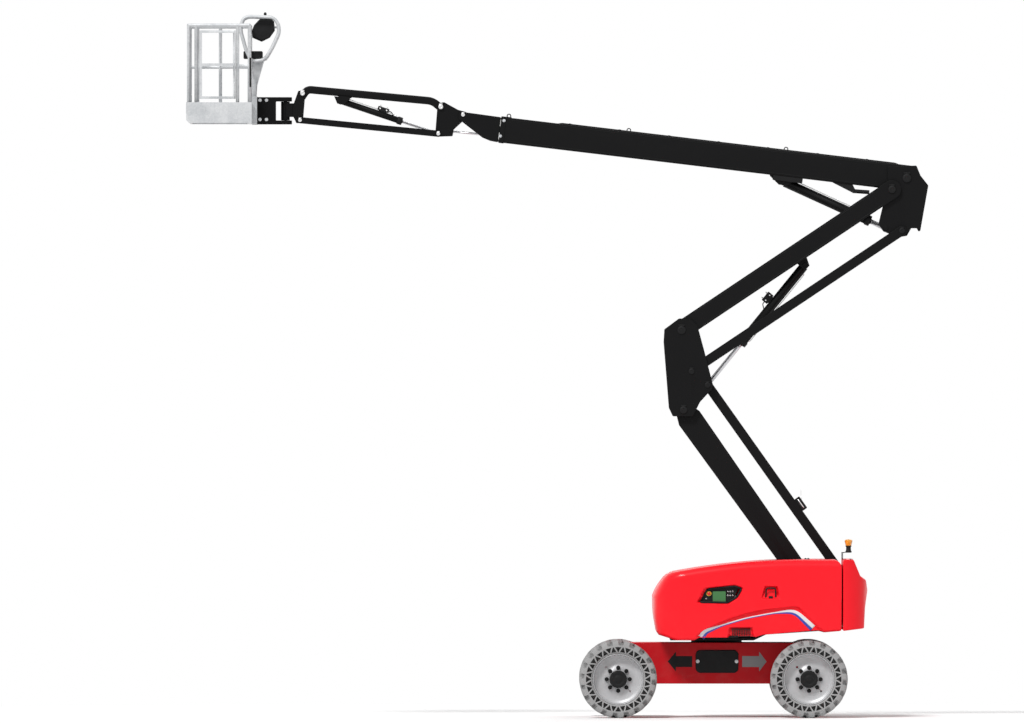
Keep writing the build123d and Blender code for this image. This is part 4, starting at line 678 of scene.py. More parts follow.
# Tyre: a section (radius, width) goes round the wheel. Angle lines lean so that they run along the struts
# between the triangular holes; a row inside a hole moves in by the hole's depth. A lug raises the tread by
# a smooth step of the angle, staggered from one shoulder to the other.
def tyreBlock(centre):
    t = tyreShape
    pitch = 2 * math.pi / t["pitches"]
    edge = 0.012
    inside = np.array([-1, -1 + edge, -0.5, 0, 0.5, 1 - edge, 1])
    hole = np.array([0, 1, 1, 1, 1, 1, 0])
    strut = np.array([0.33, 0.66])
    # one side of the tyre from its seat to the middle of the tread, as radius, width, hole flag
    half = t["halfWidth"]
    rows = [
        (t["seatRadius"], half - 0.034, 0), (t["seatRadius"] + 0.006, half - 0.02, 0),
        (t["seatRadius"] + 0.013, half - 0.012, 0), (t["holeInner"] - 0.001, half - 0.008, 0),
        (t["holeInner"], half - 0.0075, 1), (0.356, half - 0.003, 1), (t["holeOuter"], half, 1),
        (t["holeOuter"] + 0.001, half, 0), (0.399, half + 0.001, 0), (0.407, half - 0.001, 0),
        (0.418, half - 0.003, 0), (0.43, half - 0.006, 0), (0.442, half - 0.011, 0), (0.452, half - 0.019, 0),
        (0.459, half - 0.030, 0), (0.4628, half - 0.045, 0), (0.4645, half - 0.065, 0), (0.4645, 0.09, 0),
        (0.4645, 0.065, 0), (0.4645, 0.04, 0), (0.4645, 0.022, 0), (0.4645, 0.012, 0), (0.4645, 0.004, 0),
    ]
    radius, width, flag = (np.array(column, float) for column in zip(*rows))
    share = np.clip((radius - t["holeInner"]) / (t["holeOuter"] - t["holeInner"]), 0, 1)
    wide, narrow = 0.30, 0.035
    growing = pitch * (narrow + (wide - narrow) * share)
    shrinking = pitch * (wide - (wide - narrow) * share)
    columns, flags = [], []
    for middle, spread, other, nextMiddle in ((0, growing, shrinking, 0.5), (0.5, shrinking, growing, 1.0)):
        columns += [middle * pitch + spread * s for s in inside]
        flags += list(hole)
        start, end = middle * pitch + spread, nextMiddle * pitch - other
        columns += [start + (end - start) * s for s in strut]
        flags += [0, 0]
    cell = np.stack(columns, axis=1)
    turns = np.arange(t["pitches"]) * pitch
    angle = (cell[:, None, :] + turns[None, :, None]).reshape(len(rows), -1)
    holeFlag = np.tile(np.array(flags, float), t["pitches"])[None, :] * flag[:, None]
    sides = []
    for side, phase in ((-1, 0.25), (1, 0.75)):
        skew = 0.9 * (1 - width[:, None] / half)
        cycle = (angle / (2 * math.pi) * t["lugPitches"] + phase + skew * 0.5) % 1.0
        raised = np.clip((0.3 - np.abs(cycle - 0.5)) / 0.035, 0, 1)
        reach = np.clip((radius[:, None] - 0.404) / 0.012, 0, 1)
        tread = np.clip((radius[:, None] - t["treadRadius"]) / 0.02, 0, 1)
        inner = np.clip((width[:, None] - 0.004) / 0.01, 0, 1)
        lowered = (1 - raised * inner) * reach
        r = radius[:, None] - lowered * tread * (t["lugRadius"] - t["treadRadius"])
        y = width[:, None] - lowered * t["shoulderCut"] * np.clip((width[:, None] - 0.1) / 0.03, 0, 1)
        y = y - holeFlag * t["holeDepth"]
        sides.append(np.stack([r * np.cos(angle), side * y, r * np.sin(angle)], axis=-1))
    grid = np.concatenate([sides[0], sides[1][::-1]])
    return gridBlock(grid + np.asarray(centre), closedU=True, closedV=True)


# Share of a lowered place in the tread, from the same turn of the lugs round the wheel, kept on the mesh for the
# painted shade in the grooves
def markGrooveShade(piece, centre):
    t = tyreShape
    mesh = piece.data
    points = np.empty(len(mesh.vertices) * 3)
    mesh.vertices.foreach_get("co", points)
    x, y, z = (points.reshape(-1, 3) - np.asarray(centre)).T
    width, radius = np.abs(y), np.hypot(x, z)
    skew = 0.9 * (1 - np.minimum(width / t["halfWidth"], 1))
    phase = np.where(y < 0, 0.25, 0.75)
    cycle = (np.arctan2(z, x) / (2 * math.pi) * t["lugPitches"] + phase + skew * 0.5) % 1.0
    lowered = 1 - np.clip((0.3 - np.abs(cycle - 0.5)) / 0.035, 0, 1)
    share = lowered * np.clip((radius - 0.4) / 0.012, 0, 1)
    # the lowered share is stored as the amount of painted shade in the grooves
    mark = mesh.attributes.new("grooveShade", "FLOAT", "POINT")
    mark.data.foreach_set("value", np.clip(share, 0, 1))


hubShape = {
    "capRadius": 0.1095, "nutRing": 0.1385, "nutSize": 0.03, "nutCount": 8, "seatBack": 0.048,
    "plugRing": 0.082,
    "plugSize": 0.016,
}
rimShape = {"half": 0.148, "discInset": 0.095, "capOut": 0.062, "lipOut": 0.146, "lipSteps": 96}
rimLipProfile = [
    (-0.012, 0.2965), (0.004, 0.2965), (0.0065, 0.3), (0.0045, 0.3045), (-0.004, 0.3055), (-0.012, 0.3035),
]


# Black hub cap with a stepped edge and four plugs in its face, and a ring of nuts on studs round it
def hubBlocks(centre, side, faceY):
    h = hubShape
    out = np.array([0.0, side, 0.0])
    start = np.array([centre[0], faceY, centre[2]])
    cap = lathe(
        [(-0.05, h["capRadius"]), (-0.05, h["capRadius"] + 0.001), (-0.006, h["capRadius"] + 0.001),
         (0.002, h["capRadius"] - 0.005), (0.004, 0.094), (0.006, 0.07), (0.004, 0.066), (0.0035, 0.045),
         (0.006, 0.04), (0.0075, 0.02), (0.008, 0.0)],
        start, out, 48,
    )
    turn = (np.arange(h["nutCount"]) + 0.5) * 2 * math.pi / h["nutCount"] + math.pi / 8
    ring = np.stack([np.cos(turn), np.zeros(len(turn)), np.sin(turn)], axis=1)
    seat = start - out * h["seatBack"]
    nuts = bolts(seat + ring * h["nutRing"], h["nutSize"], out)
    stud = lathe([(0, 0.008), (0.024, 0.008), (0.027, 0.005), (0.027, 0)], (0, 0, 0), out, 10)
    studs = repeatBlock(stud, seat + ring * h["nutRing"])
    plugs = bolts(start + ring[::2] * h["plugRing"], h["plugSize"], out, False)
    return cap, nuts, studs, plugs


def buildWheels():
    for axle in ("front", "rear"):
        for sideName, side in (("left", -1), ("right", 1)):
            name = f"{axle}_{sideName}"
            low, high = corners(f"{name}_tyre")
            centre = (low + high) / 2
            body = f"{name}_wheel"
            tyre = makePiece(f"tyre_{name}", [tyreBlock(centre)], body, finishes["tyreGrey"], 40,
                             [f"{name}_tyre"])
            markGrooveShade(tyre, centre)
            dressNode(f"{name}_rim", 0)
            discY = centre[1] + side * (rimShape["half"] - rimShape["discInset"] + rimShape["capOut"])
            cap, nuts, studs, plugs = hubBlocks(centre, side, discY)
            makePiece(f"hubCap_{name}", [cap, plugs], body, finishes["steelBlack"])
            makePiece(f"wheelNuts_{name}", [nuts, studs], body, finishes["steelBlack"])
            steps = rimShape["lipSteps"]
            ringY = centre[1] + side * rimShape["lipOut"]
            points = lathe(rimLipProfile, (centre[0], ringY, centre[2]), (0, side, 0), steps)[0]
            lip = gridBlock(points.reshape(len(rimLipProfile), steps, 3), closedU=True, closedV=True)
            makePiece(f"rimLip_{name}", [lip], body, finishes["rimSilver"])
    print("wheels dressed")


buildWheels()


hoodShape = {
    "nose": -0.804, "rear": 1.496, "top": 1.9, "low": 0.932, "half": 1.08, "inner": 0.205,
    "topRadius": 0.1, "lowRadius": 0.03, "wall": 0.012, "rows": 170, "columns": 460,
}


# Points on a circle arc through three points, for an outline
def arcThrough(first, middle, last, steps):
    a, b, c = (np.asarray(p, float) for p in (first, middle, last))
    d = 2 * (a[0] * (b[1] - c[1]) + b[0] * (c[1] - a[1]) + c[0] * (a[1] - b[1]))
    sq = [p @ p for p in (a, b, c)]
    ux = (sq[0] * (b[1] - c[1]) + sq[1] * (c[1] - a[1]) + sq[2] * (a[1] - b[1])) / d
    uy = (sq[0] * (c[0] - b[0]) + sq[1] * (a[0] - c[0]) + sq[2] * (b[0] - a[0])) / d
    centre = np.array([ux, uy])
    radius = np.linalg.norm(a - centre)
    start, through, end = (math.atan2(p[1] - uy, p[0] - ux) for p in (a, b, c))
    full = 2 * math.pi
    if (through - start) % full < (end - start) % full:
        turn = start + np.linspace(0, (end - start) % full, steps)
    else:
        turn = start - np.linspace(0, (start - end) % full, steps)
    return centre + radius * np.stack([np.cos(turn), np.sin(turn)], axis=1)


# Points from a start along a circle that leaves it in a given direction and reaches an end
def tangentArc(start, direction, end, steps):
    start, end = np.asarray(start, float), np.asarray(end, float)
    direction = np.asarray(direction, float) / np.linalg.norm(direction)
    normal = np.array([-direction[1], direction[0]])
    chord = end - start
    reach = (chord @ chord) / (2 * (chord @ normal))
    centre = start + reach * normal
    spin = 2 * math.atan2(chord @ normal, chord @ direction)
    turn = np.linspace(0, spin, steps)[:, None]
    back = start - centre
    square = np.array([-back[1], back[0]])
    return centre + back * np.cos(turn) + square * np.sin(turn)


def hoodSideOutline():
    h = hoodShape
    brow = tangentArc((-0.655, 1.665), (0.149, 0.195), (-0.5, 1.756), 10)
    level = tangentArc(brow[-1], brow[-1] - brow[-2], (1.02, h["top"]), 24)
    return np.vstack([
        [(h["nose"], 1.47)], brow, level[1:],
        [(h["rear"] + 0.2, h["top"]), (h["rear"] + 0.2, 1.048), (h["rear"], 1.044)],
        [(0.56, 0.966), (0.444, 0.932), (-0.492, 0.932), (-0.7, 0.998), (-0.732, 1.042)],
    ])


def hoodPlanOutline():
    h = hoodShape
    corner = tangentArc((-0.38, h["half"]), (-1, 0), (-0.786, 0.64), 26)[::-1]
    return np.vstack([
        [(h["nose"], -0.4), (h["nose"], 0.42)], corner,
        [(0.2, h["half"]), (0.8, h["half"]), (h["rear"], h["half"]), (h["rear"], -0.4)],
    ])


# Signed distance to a closed outline, positive inside: the nearest of its segments, signed by crossings
def outlineDistance(points, outline):
    start, end = outline, np.roll(outline, -1, axis=0)
    span = end - start
    offset = points[:, None, :] - start[None]
    share = np.clip(np.sum(offset * span, axis=2) / np.sum(span * span, axis=1), 0, 1)
    gap = offset - share[..., None] * span
    nearest = np.sqrt(np.min(np.sum(gap * gap, axis=2), axis=1))
    above = (start[None, :, 1] > points[:, 1:2]) != (end[None, :, 1] > points[:, 1:2])
    slope = np.where(span[:, 1] == 0, 1e-12, span[:, 1])
    cross = start[None, :, 0] + (points[:, 1:2] - start[None, :, 1]) / slope * span[:, 0]
    inside = np.sum(above & (points[:, :1] < cross), axis=1) % 2 == 1
    return np.where(inside, nearest, -nearest)


sideOutline, planOutline = hoodSideOutline(), hoodPlanOutline()
archOutline = np.vstack([
    [(-0.26, 0.8), (-0.238, 0.985)],
    arcThrough((-0.225, 1.015), (0.25, 1.232), (0.674, 1.318), 12),
    [(0.93, 1.346), (0.985, 1.335), (1.262, 1.052), (1.3, 0.8)],
])
recessOutline = np.array([(-0.245, 1.382), (-0.134, 1.566), (0.215, 1.603), (0.325, 1.566), (0.252, 1.438),
                          (0.142, 1.364)])
handleOutline = np.array([(0.522, 1.424), (0.575, 1.582), (0.716, 1.582), (0.762, 1.424)])
windowOutline = np.array([(-0.205, 1.392), (-0.118, 1.545), (0.212, 1.582), (0.296, 1.552), (0.236, 1.45),
                          (0.128, 1.385)])
ventOutline = np.array([(0.125, 0.955), (0.15, 1.09), (0.425, 1.09), (0.45, 0.955)])


# Depth pressed into the hood's flank at a place: smooth steps at the edges of the arch and the recesses
def flankPress(x, z, side):
    points = np.stack([x, z], axis=1)
    arch = np.clip(outlineDistance(points, archOutline) / 0.02, 0, 1)
    depth = 0.034 * arch * arch * (3 - 2 * arch)
    handle = np.clip(outlineDistance(points, handleOutline) / 0.016, 0, 1)
    slope = np.clip((z - 1.424) / 0.158, 0, 1)
    depth += handle * (0.012 + 0.042 * slope)
    vent = np.clip(outlineDistance(points, ventOutline) / 0.012, 0, 1)
    depth += vent * 0.035
    if side < 0:
        recess = np.clip(outlineDistance(points, recessOutline) / 0.02, 0, 1)
        deep = 0.028 + 0.03 * np.clip((0.325 - x) / 0.25, 0, 1)
        depth += recess * deep
    return depth


# Inside the hood where this is negative: the side and plan outlines meet over a rounded edge. The flank leans
# in a little below its waist.
def hoodField(points, side):
    h = hoodShape
    lean = 0.03 * np.clip((1.45 - points[:, 2]) / 0.5, 0, 1.2) ** 2
    bulge = points[:, 1] + lean
    inSide = outlineDistance(points[:, [0, 2]], sideOutline)
    inPlan = outlineDistance(np.stack([points[:, 0], bulge], axis=1), planOutline)
    blend = np.clip((points[:, 2] - 1.15) / 0.35, 0, 1)
    radius = h["lowRadius"] + (h["topRadius"] - h["lowRadius"]) * blend * blend * (3 - 2 * blend)
    a, b = radius - inSide, radius - inPlan
    edge = np.sqrt(np.maximum(a, 0) ** 2 + np.maximum(b, 0) ** 2)
    value = np.minimum(np.maximum(a, b), 0) + edge - radius
    flank = np.clip((points[:, 1] - 0.9) / 0.06, 0, 1)
    return value + flank * flankPress(points[:, 0], points[:, 2], side)


# Where rays from an origin leave the hood: halving steps along each ray
def castOnHood(origins, directions, reach, side, steps=22):
    low, high = np.zeros(len(directions)), np.full(len(directions), reach)
    for _ in range(steps):
        middle = (low + high) / 2
        within = hoodField(origins + directions * middle[:, None], side) < 0
        low, high = np.where(within, middle, low), np.where(within, high, middle)
    return origins + directions * low[:, None]


# Hood shell: rays fan out from a point inside to the rim, the rim being the inner edge over the top and the
# lower edge round the outside; between the flank's middle and the rim the rays turn evenly.
def hoodBlock(side):
    h = hoodShape
    eye = np.array([0.34, h["inner"] - 0.02, 1.34])
    inner = h["inner"]
    topLine = sideOutline[(sideOutline[:, 0] <= h["rear"] + 0.01) & (sideOutline[:, 1] > 1.4)]
    rim = [(-0.735, inner, 1.06), (-0.775, inner, 1.25)]
    rim += [(x, inner, z) for x, z in topLine]
    rim += [(h["rear"], inner, h["top"]), (h["rear"], inner, 1.05), (h["rear"], 1.03, 1.05)]
    rim += [(1.0, 1.03, 1.002), (0.56, 1.03, 0.968), (0.444, 1.03, 0.934), (-0.4, 1.01, 0.934)]
    rim += [(-0.62, 0.86, 0.975), (-0.71, 0.6, 1.01), (-0.73, 0.4, 1.04), (-0.735, inner, 1.06)]
    rim = np.array(rim, float)
    length = np.concatenate([[0], np.cumsum(np.linalg.norm(np.diff(rim, axis=0), axis=1))])
    stations = np.linspace(0, length[-1], h["columns"], endpoint=False)
    rimPoints = np.stack([np.interp(stations, length, rim[:, k]) for k in range(3)], axis=1)
    pole = np.array([0.34, 1.0, 1.67])  # high enough that no stretch of the rim points straight at it
    share = np.linspace(0, 1, h["rows"]) ** 0.8
    # the fan of targets: straight lines in a flat map, pushed out to the shell along each ray
    targets = pole + share[:, None, None] * (rimPoints - pole)
    directions = (targets - eye).reshape(-1, 3)
    directions /= np.linalg.norm(directions, axis=1)[:, None]
    hits = castOnHood(eye, directions, 2.4, side)
    grid = hits.reshape(h["rows"], h["columns"], 3)
    grid[..., 1] *= 1 if side > 0 else -1
    return gridBlock(grid, closedV=True)


# Place on a hood's flank in front of each (x, z): rays run outwards across the machine to the shell
def onFlank(outline, side, proud=0.0):
    outline = np.asarray(outline, float)
    flat = outline.reshape(-1, 2)
    start = np.stack([flat[:, 0], np.full(len(flat), 0.6), flat[:, 1]], axis=1)
    hits = castOnHood(start, np.broadcast_to([0.0, 1.0, 0.0], start.shape), 0.6, side)
    hits[:, 1] += proud
    hits[:, 1] *= side
    return hits.reshape(*outline.shape[:-1], 3)


stripe = {
    "line": [(-0.19, 0.966), (-0.14, 1.034), (0.048, 1.108), (0.36, 1.2), (0.692, 1.262), (0.931, 1.282),
             (1.15, 1.078)],
    "width": [0.085, 0.062, 0.026, 0.02, 0.022, 0.06, 0.085], "whiteShare": 0.6, "proud": 0.0016,
    "wall": 0.0008,
}


# A band along a line whose width changes: across it, shares from 0 to 1 between its two edges
def stripeBlock(side, low, high, steps=5):
    line = roundedPath(stripe["line"], 0.09, 9)
    reach = np.concatenate([[0], np.cumsum(np.linalg.norm(np.diff(line, axis=0), axis=1))])
    marks = [np.argmin(np.linalg.norm(line - np.array(point), axis=1)) for point in stripe["line"]]
    station = np.linspace(0, reach[-1], 90)
    path = np.stack([np.interp(station, reach, line[:, k]) for k in (0, 1)], axis=1)
    width = np.interp(station, reach[marks], stripe["width"])
    tangent = np.gradient(path, axis=0)
    tangent /= np.linalg.norm(tangent, axis=1)[:, None]
    normal = np.stack([-tangent[:, 1], tangent[:, 0]], axis=1)
    share = np.linspace(low, high, steps) - 0.5
    band = path[:, None] + share[None, :, None] * width[:, None, None] * normal[:, None]
    grid = onFlank(band, side, stripe["proud"])
    return gridBlock(grid if side > 0 else grid[:, ::-1])


handle = {"low": 1.452, "high": 1.56, "front": 0.583, "rear": 0.703, "depth": 0.03}
ventBars = {"front": 0.185, "rear": 0.392, "low": 0.978, "high": 1.068, "count": 11}


def buildHoods():
    for sideName, side in (("left", -1), ("right", 1)):
        body = f"{sideName}_hood"
        points, faces = hoodBlock(side)
        if side < 0:
            middle = points[faces[0]].mean(axis=1)
            gap = outlineDistance(middle[:, [0, 2]], windowOutline)
            faces = [faces[0][(gap < 0.006) | (middle[:, 1] > -0.9)]]
        piece = makePiece(f"hoodShell_{sideName}", [(points, faces)], body, finishes["hoodRed"],
                          60,
                          [body])
        modifier = piece.modifiers.new("wall", "SOLIDIFY")
        modifier.thickness = hoodShape["wall"]
        modifier.offset = -1.0
        for name, low, high, paint in (
            ("white", 1 - stripe["whiteShare"], 1.0, "stripeWhite"), ("blue", 0.0, 1 - stripe["whiteShare"],
                    "stripeBlue")
        ):
            band = makePiece(f"stripe_{name}_{sideName}", [stripeBlock(side, low, high)], body,
                             finishes[paint], 60, closedShell=False)
            wall = band.modifiers.new("wall", "SOLIDIFY")
            wall.thickness = stripe["wall"]
            wall.offset = 1.0
        h = handle
        grip = roundedPath([(h["front"], 0, h["low"]), (h["front"] + 0.01, 0, h["high"]), (h["rear"], 0,
                h["high"]),
                            (h["rear"], 0, h["low"])], 0.03, 6)
        seat = onFlank(np.array([[(h["front"] + h["rear"]) / 2, h["low"]]]), side)[0]
        grip[:, 1] = seat[1] + side * h["depth"] * np.array([0.0] + [0.7] * (len(grip) - 2) + [0.0])
        latch = slab(roundRect(0.05, 0.03, 0.008), 0, 0.012, (0.645, seat[1], 1.448), flankAxes, 0.003)
        if side < 0:
            latch = slab(roundRect(0.05, 0.03, 0.008), -0.012, 0, (0.645, seat[1], 1.448), flankAxes, 0.003)
        makePiece(f"hoodHandle_{sideName}", [tubeAlong(grip, 0.009, 12, upAxis), latch], body,
                  finishes["plasticBlack"], 40)
        v = ventBars
        back = onFlank(np.array([[0.29, 1.02]]), side)[0][1]
        xs = np.linspace(v["front"], v["rear"], v["count"])
        bars = [boxBlock((x - 0.004, min(back, back + side * 0.02), v["low"]),
                         (x + 0.004, max(back, back + side * 0.02), v["high"]), 0.0015) for x in xs]
        bars += [boxBlock((v["front"] - 0.012, min(back, back + side * 0.024), z - 0.005),
                          (v["rear"] + 0.012, max(back, back + side * 0.024), z + 0.005), 0.0015)
                 for z in (v["low"], v["high"])]
        makePiece(f"hoodGrating_{sideName}", bars, body, finishes["steelBlack"], 40)
        strap = [slab(roundRect(0.06, 0.1, 0.01), 0, 0.006, (x, side * 0.219, 1.9), worldAxes, 0.002)
                 for x in (1.09, 1.39)]
        makePiece(f"hoodHinges_{sideName}", strap + [bolts(
            [(x + dx, side * 0.232, 1.906) for x in (1.09, 1.39) for dx in (-0.018, 0.018)], 0.012, upAxis)],
            body, finishes["steelBlack"])
    rim = np.vstack([windowOutline, windowOutline[:1]])
    length = np.concatenate([[0], np.cumsum(np.linalg.norm(np.diff(rim, axis=0), axis=1))])
    station = np.linspace(0, length[-1], 160, endpoint=False)
    around = np.stack([np.interp(station, length, rim[:, k]) for k in (0, 1)], axis=1)
    for _ in range(6):
        around = (around + np.roll(around, 1, axis=0) + np.roll(around, -1, axis=0)) / 3
    outer = insetOutline(around, -0.012)
    gasket = onFlank(outer, -1)
    gasket = np.stack([around[:, 0], gasket[:, 1], around[:, 1]], axis=1)
    makePiece("panelGasket", [tubeAlong(gasket, 0.012, 12, acrossAxis, True)], "left_hood",
              finishes["plasticBlack"], 60)
    print("hoods made")


# The ground controls: a dark plate, a green display, a stop button, and switches all of one turned shape
controls = {
    "face": -1.031, "plate": [(-0.2, 1.37), (-0.16, 1.56), (0.2, 1.6), (0.26, 1.57), (0.2, 1.43),
                              (0.1, 1.37)],
    "display": (-0.052, 1.382, 0.104, 1.52), "stop": (-0.097, 1.493),
    "switches": [(0.13, 1.52), (0.16, 1.52), (0.19, 1.52), (0.13, 1.47), (0.16, 1.47), (0.19, 1.47),
                 (-0.13, 1.43)],
}


# A push button or switch seen from its front: rings of (distance out, radius) turned about the cross axis
def knob(place, profile, face, steps=28):
    return lathe([(d, r) for d, r in profile], (place[0], face, place[1]), (0, -1, 0), steps)


def buildControls():
    c = controls
    box = boxBlock((-0.2, -0.95, 0.96), (0.26, -0.85, 1.4), 0.008, 0.02)
    backing = slab(np.array(c["plate"]), 0, 0.16, (0, c["face"], 0), flankAxes, 0.004)
    makePiece("groundPanelCase", [box, backing], "turret", finishes["plasticBlack"], 40,
              ["ground_panel"])
    x0, z0, x1, z1 = c["display"]
    middle = ((x0 + x1) / 2, c["face"], (z0 + z1) / 2)
    bezel = slab(roundRect(x1 - x0 + 0.02, z1 - z0 + 0.02, 0.012), -0.006, 0.002, middle, flankAxes, 0.002)
    makePiece("displayBezel", [bezel], "turret", finishes["steelBlack"], 40)
    face = slab(roundRect(x1 - x0, z1 - z0, 0.008), -0.0085, -0.001, middle, flankAxes, 0.001)
    makePiece("displayFace", [face], "turret", finishes["displayGreen"], 40)
    ring = knob(c["stop"], [(0, 0.03), (0.004, 0.03), (0.005, 0.028), (0.005, 0)], c["face"])
    makePiece("stopRing", [ring], "turret", finishes["buttonYellow"], 40)
    cap = knob(c["stop"], [(0.004, 0.012), (0.014, 0.012), (0.016, 0.021), (0.024, 0.022), (0.029, 0.018),
                           (0.031, 0.008),
                           (0.0315, 0)], c["face"])
    makePiece("stopButton", [cap], "turret", finishes["buttonRed"], 50)
    levers = []
    for place in c["switches"]:
        levers.append(knob(place, [(0, 0.0095), (0.004, 0.0095), (0.006, 0.006), (0.012, 0.0045),
                                   (0.022, 0.003),
                                   (0.028, 0.0042), (0.031, 0.003), (0.0315, 0)], c["face"], 16))
    makePiece("panelSwitches", levers, "turret", finishes["boltZinc"], 50)
    print("ground controls made")


beaconShape = {"x": 1.586, "y": -0.34, "base": 1.986, "dome": 2.064, "top": 2.142}


def buildBeacon():
    b = beaconShape
    strap = [(1.515, b["y"], 1.84), (1.515, b["y"], 1.975), (1.53, b["y"], 1.984), (1.61, b["y"], 1.984)]
    path = roundedPath(strap, 0.02, 6)
    plateBlock = slab(roundRect(0.05, 0.07, 0.008), 0, 0.006, (1.53, b["y"], 1.9), worldAxes, 0.002)
    post = boxBlock((1.5, b["y"] - 0.025, 1.9), (1.506, b["y"] + 0.025, 1.984), 0.001)
    shelf = boxBlock((1.5, b["y"] - 0.035, 1.98), (1.622, b["y"] + 0.035, 1.986), 0.002)
    base = lathe([(0, 0), (0, 0.037), (0.012, 0.037), (0.02, 0.031), (0.06, 0.028), (0.068, 0.036),
                  (0.078, 0.036),
                  (0.078, 0)], (b["x"], b["y"], b["base"]), upAxis, 40)
    makePiece("beaconStand", [plateBlock, post, shelf, base, tubeAlong(path + np.array([0.0, 0.02, 0.0]),
            0.005, 10)],
              "turret", finishes["plasticBlack"], 40, ["beacon"])
    rise = b["top"] - b["dome"]
    height = np.linspace(0, 1, 22)
    radius = (0.034 + 0.02 * height) * np.sqrt(np.clip(1 - np.clip((height - 0.6) / 0.4, 0, 1) ** 3, 0, 1))
    radius[2:12] += 0.001 * np.cos(np.arange(10) * math.pi)
    profile = [(0, 0)] + list(zip(height * rise, radius))
    makePiece("beaconDome", [lathe(profile, (b["x"], b["y"], b["dome"]), upAxis, 48)], "turret",
              finishes["amber"], 50)
    print("beacon made")


arrows = {
    "black": [[(-0.588, 0.672), (-0.49, 0.552), (-0.49, 0.792)], [(-0.492, 0.606), (-0.294, 0.606),
            (-0.294, 0.738), (-0.492, 0.738)]],
    "grey": [[(0.6, 0.672), (0.51, 0.792), (0.51, 0.552)], [(0.512, 0.738), (0.306, 0.738), (0.306, 0.606),
                                                            (0.512, 0.606)]],
}


chassisShape = {
    "arrowIn": 0.4695, "arrowOut": 0.4716, "coverFace": 0.484, "boltHeight": 0.674, "boltPlaces": (-0.228,
            0.238),
    "boltSize": 0.026, "ringBolts": 28, "ringRadius": 0.272, "ringTop": 0.93, "lipLow": 0.906, "lipSteps": 96,
}
ringLipProfile = [(0, 0.296), (0.006, 0.303), (0.012, 0.303), (0.018, 0.296)]


def buildChassis():
    c = chassisShape
    for node, edge in (("chassis_frame", 0.006), ("chassis_covers", 0.009), ("slew_ring", 0.002),
                       ("front_axle", 0.005),
                       ("rear_axle", 0.005), ("tie_down_eyes", 0.003), ("front_tie_rod", 0.002),
                       ("rear_tie_rod", 0.002)):
        dressNode(node, edge)
    for side, sideName in ((-1, "left"), (1, "right")):
        for tone, outlines in arrows.items():
            low, high = sorted((side * c["arrowIn"], side * c["arrowOut"]))
            marks = [slab(outline, low, high, (0, 0, 0), flankAxes, 0.0005) for outline in outlines]
            makePiece(f"arrow_{tone}_{sideName}", marks, "chassis",
                      finishes["steelBlack" if tone == "black" else "arrowGrey"], 40)
        face = side * c["coverFace"]
        heads = bolts([(x, face, c["boltHeight"]) for x in c["boltPlaces"]], c["boltSize"], (0, side, 0))
        makePiece(f"coverBolts_{sideName}", [heads], "chassis", finishes["zinc"], 40)
    count, radius = c["ringBolts"], c["ringRadius"]
    ring = np.arange(count) * 2 * math.pi / count
    places = np.stack([radius * np.cos(ring), radius * np.sin(ring), np.full(count, c["ringTop"])], axis=1)
    points = lathe(ringLipProfile, (0, 0, c["lipLow"]), upAxis, c["lipSteps"])[0]
    lip = gridBlock(points.reshape(len(ringLipProfile), c["lipSteps"], 3), closedU=True, closedV=True)
    makePiece("slewBolts", [bolts(places - np.array([0, 0, 0.012]), 0.02, upAxis, False), lip], "chassis",
              finishes["boltZinc"])
    for axle in ("front", "rear"):
        for sideName, side in (("left", -1), ("right", 1)):
            name = f"{axle}_{sideName}_knuckle"
            dressNode(name, 0.003)
    print("chassis dressed")


def buildTurret():
    for node, edge in (("turret_deck", 0.003), ("left_cheek", 0.003), ("right_cheek", 0.003),
                       ("counterweight", 0.014),
                       ("engine_block", 0.01), ("fluid_tanks", 0.01)):
        dressNode(node, edge, segments=3 if node == "counterweight" else 2)
    print("turret dressed")


# Pin heads: a turned cap, a keeper plate and its bolts, on one face of a plate
def pinCaps(places, radius, face, side):
    blocks = []
    for x, z in places:
        out = (0, side, 0)
        blocks.append(lathe([(-0.004, 0), (-0.004, radius), (0.006, radius), (0.009, radius - 0.004),
                             (0.009, radius * 0.45),
                             (0.006, radius * 0.4), (0.006, 0)], (x, face, z), out, 36))
        keeper = slab(roundRect(radius * 1.5, radius * 0.5, radius * 0.1), 0, 0.008,
                      (x, face if side > 0 else face - 0.008, z + radius * 1.15), flankAxes, 0.002)
        blocks.append(keeper)
        blocks.append(bolts([(x + dx, face + side * 0.008, z + radius * 1.15) for dx in (-radius * 0.5,
                radius * 0.5)],
                            radius * 0.3, out))
    return blocks


lowerFoot, lowerHead = pivot("lower_riser"), pivot("middle_level")
linkFoot = pivot("lower_link_foot")
upperFoot, upperHead = pivot("upper_riser"), pivot("top_level")
boomPivot = pivot("boom")
jibFootPin, jibHeadPin = pivot("jib"), pivot("jib_level")
levelPin = pivot("basket_level")


# Rigid pipes along a member's far flank: parallel runs that turn in at both ends, under flat clamps
def flankPipes(start, end, fromAlong, toAlong, rises, face, radius=0.008, clampEvery=0.5):
    pipes, clamps = [], []
    for up in rises:
        route = [onMember(start, end, fromAlong, up, face - 0.004), onMember(start, end, fromAlong + 0.03,
                up, face + radius),
                 onMember(start, end, toAlong - 0.03, up, face + radius), onMember(start, end, toAlong, up,
                         face - 0.004)]
        pipes.append(tubeAlong(roundedPath(route, 0.02, 6), radius, 10, upAxis))
    a, u = memberAxes(start, end)
    tall = max(rises) - min(rises) + 0.05
    for along in np.arange(fromAlong + 0.2, toAlong - 0.15, clampEvery):
        middle = onMember(start, end, along, (max(rises) + min(rises)) / 2, face)
        clamps.append(slab(roundRect(0.035, tall, 0.006), -0.001, 0.018, middle, (a, u, acrossAxis), 0.003))
    return pipes, clamps


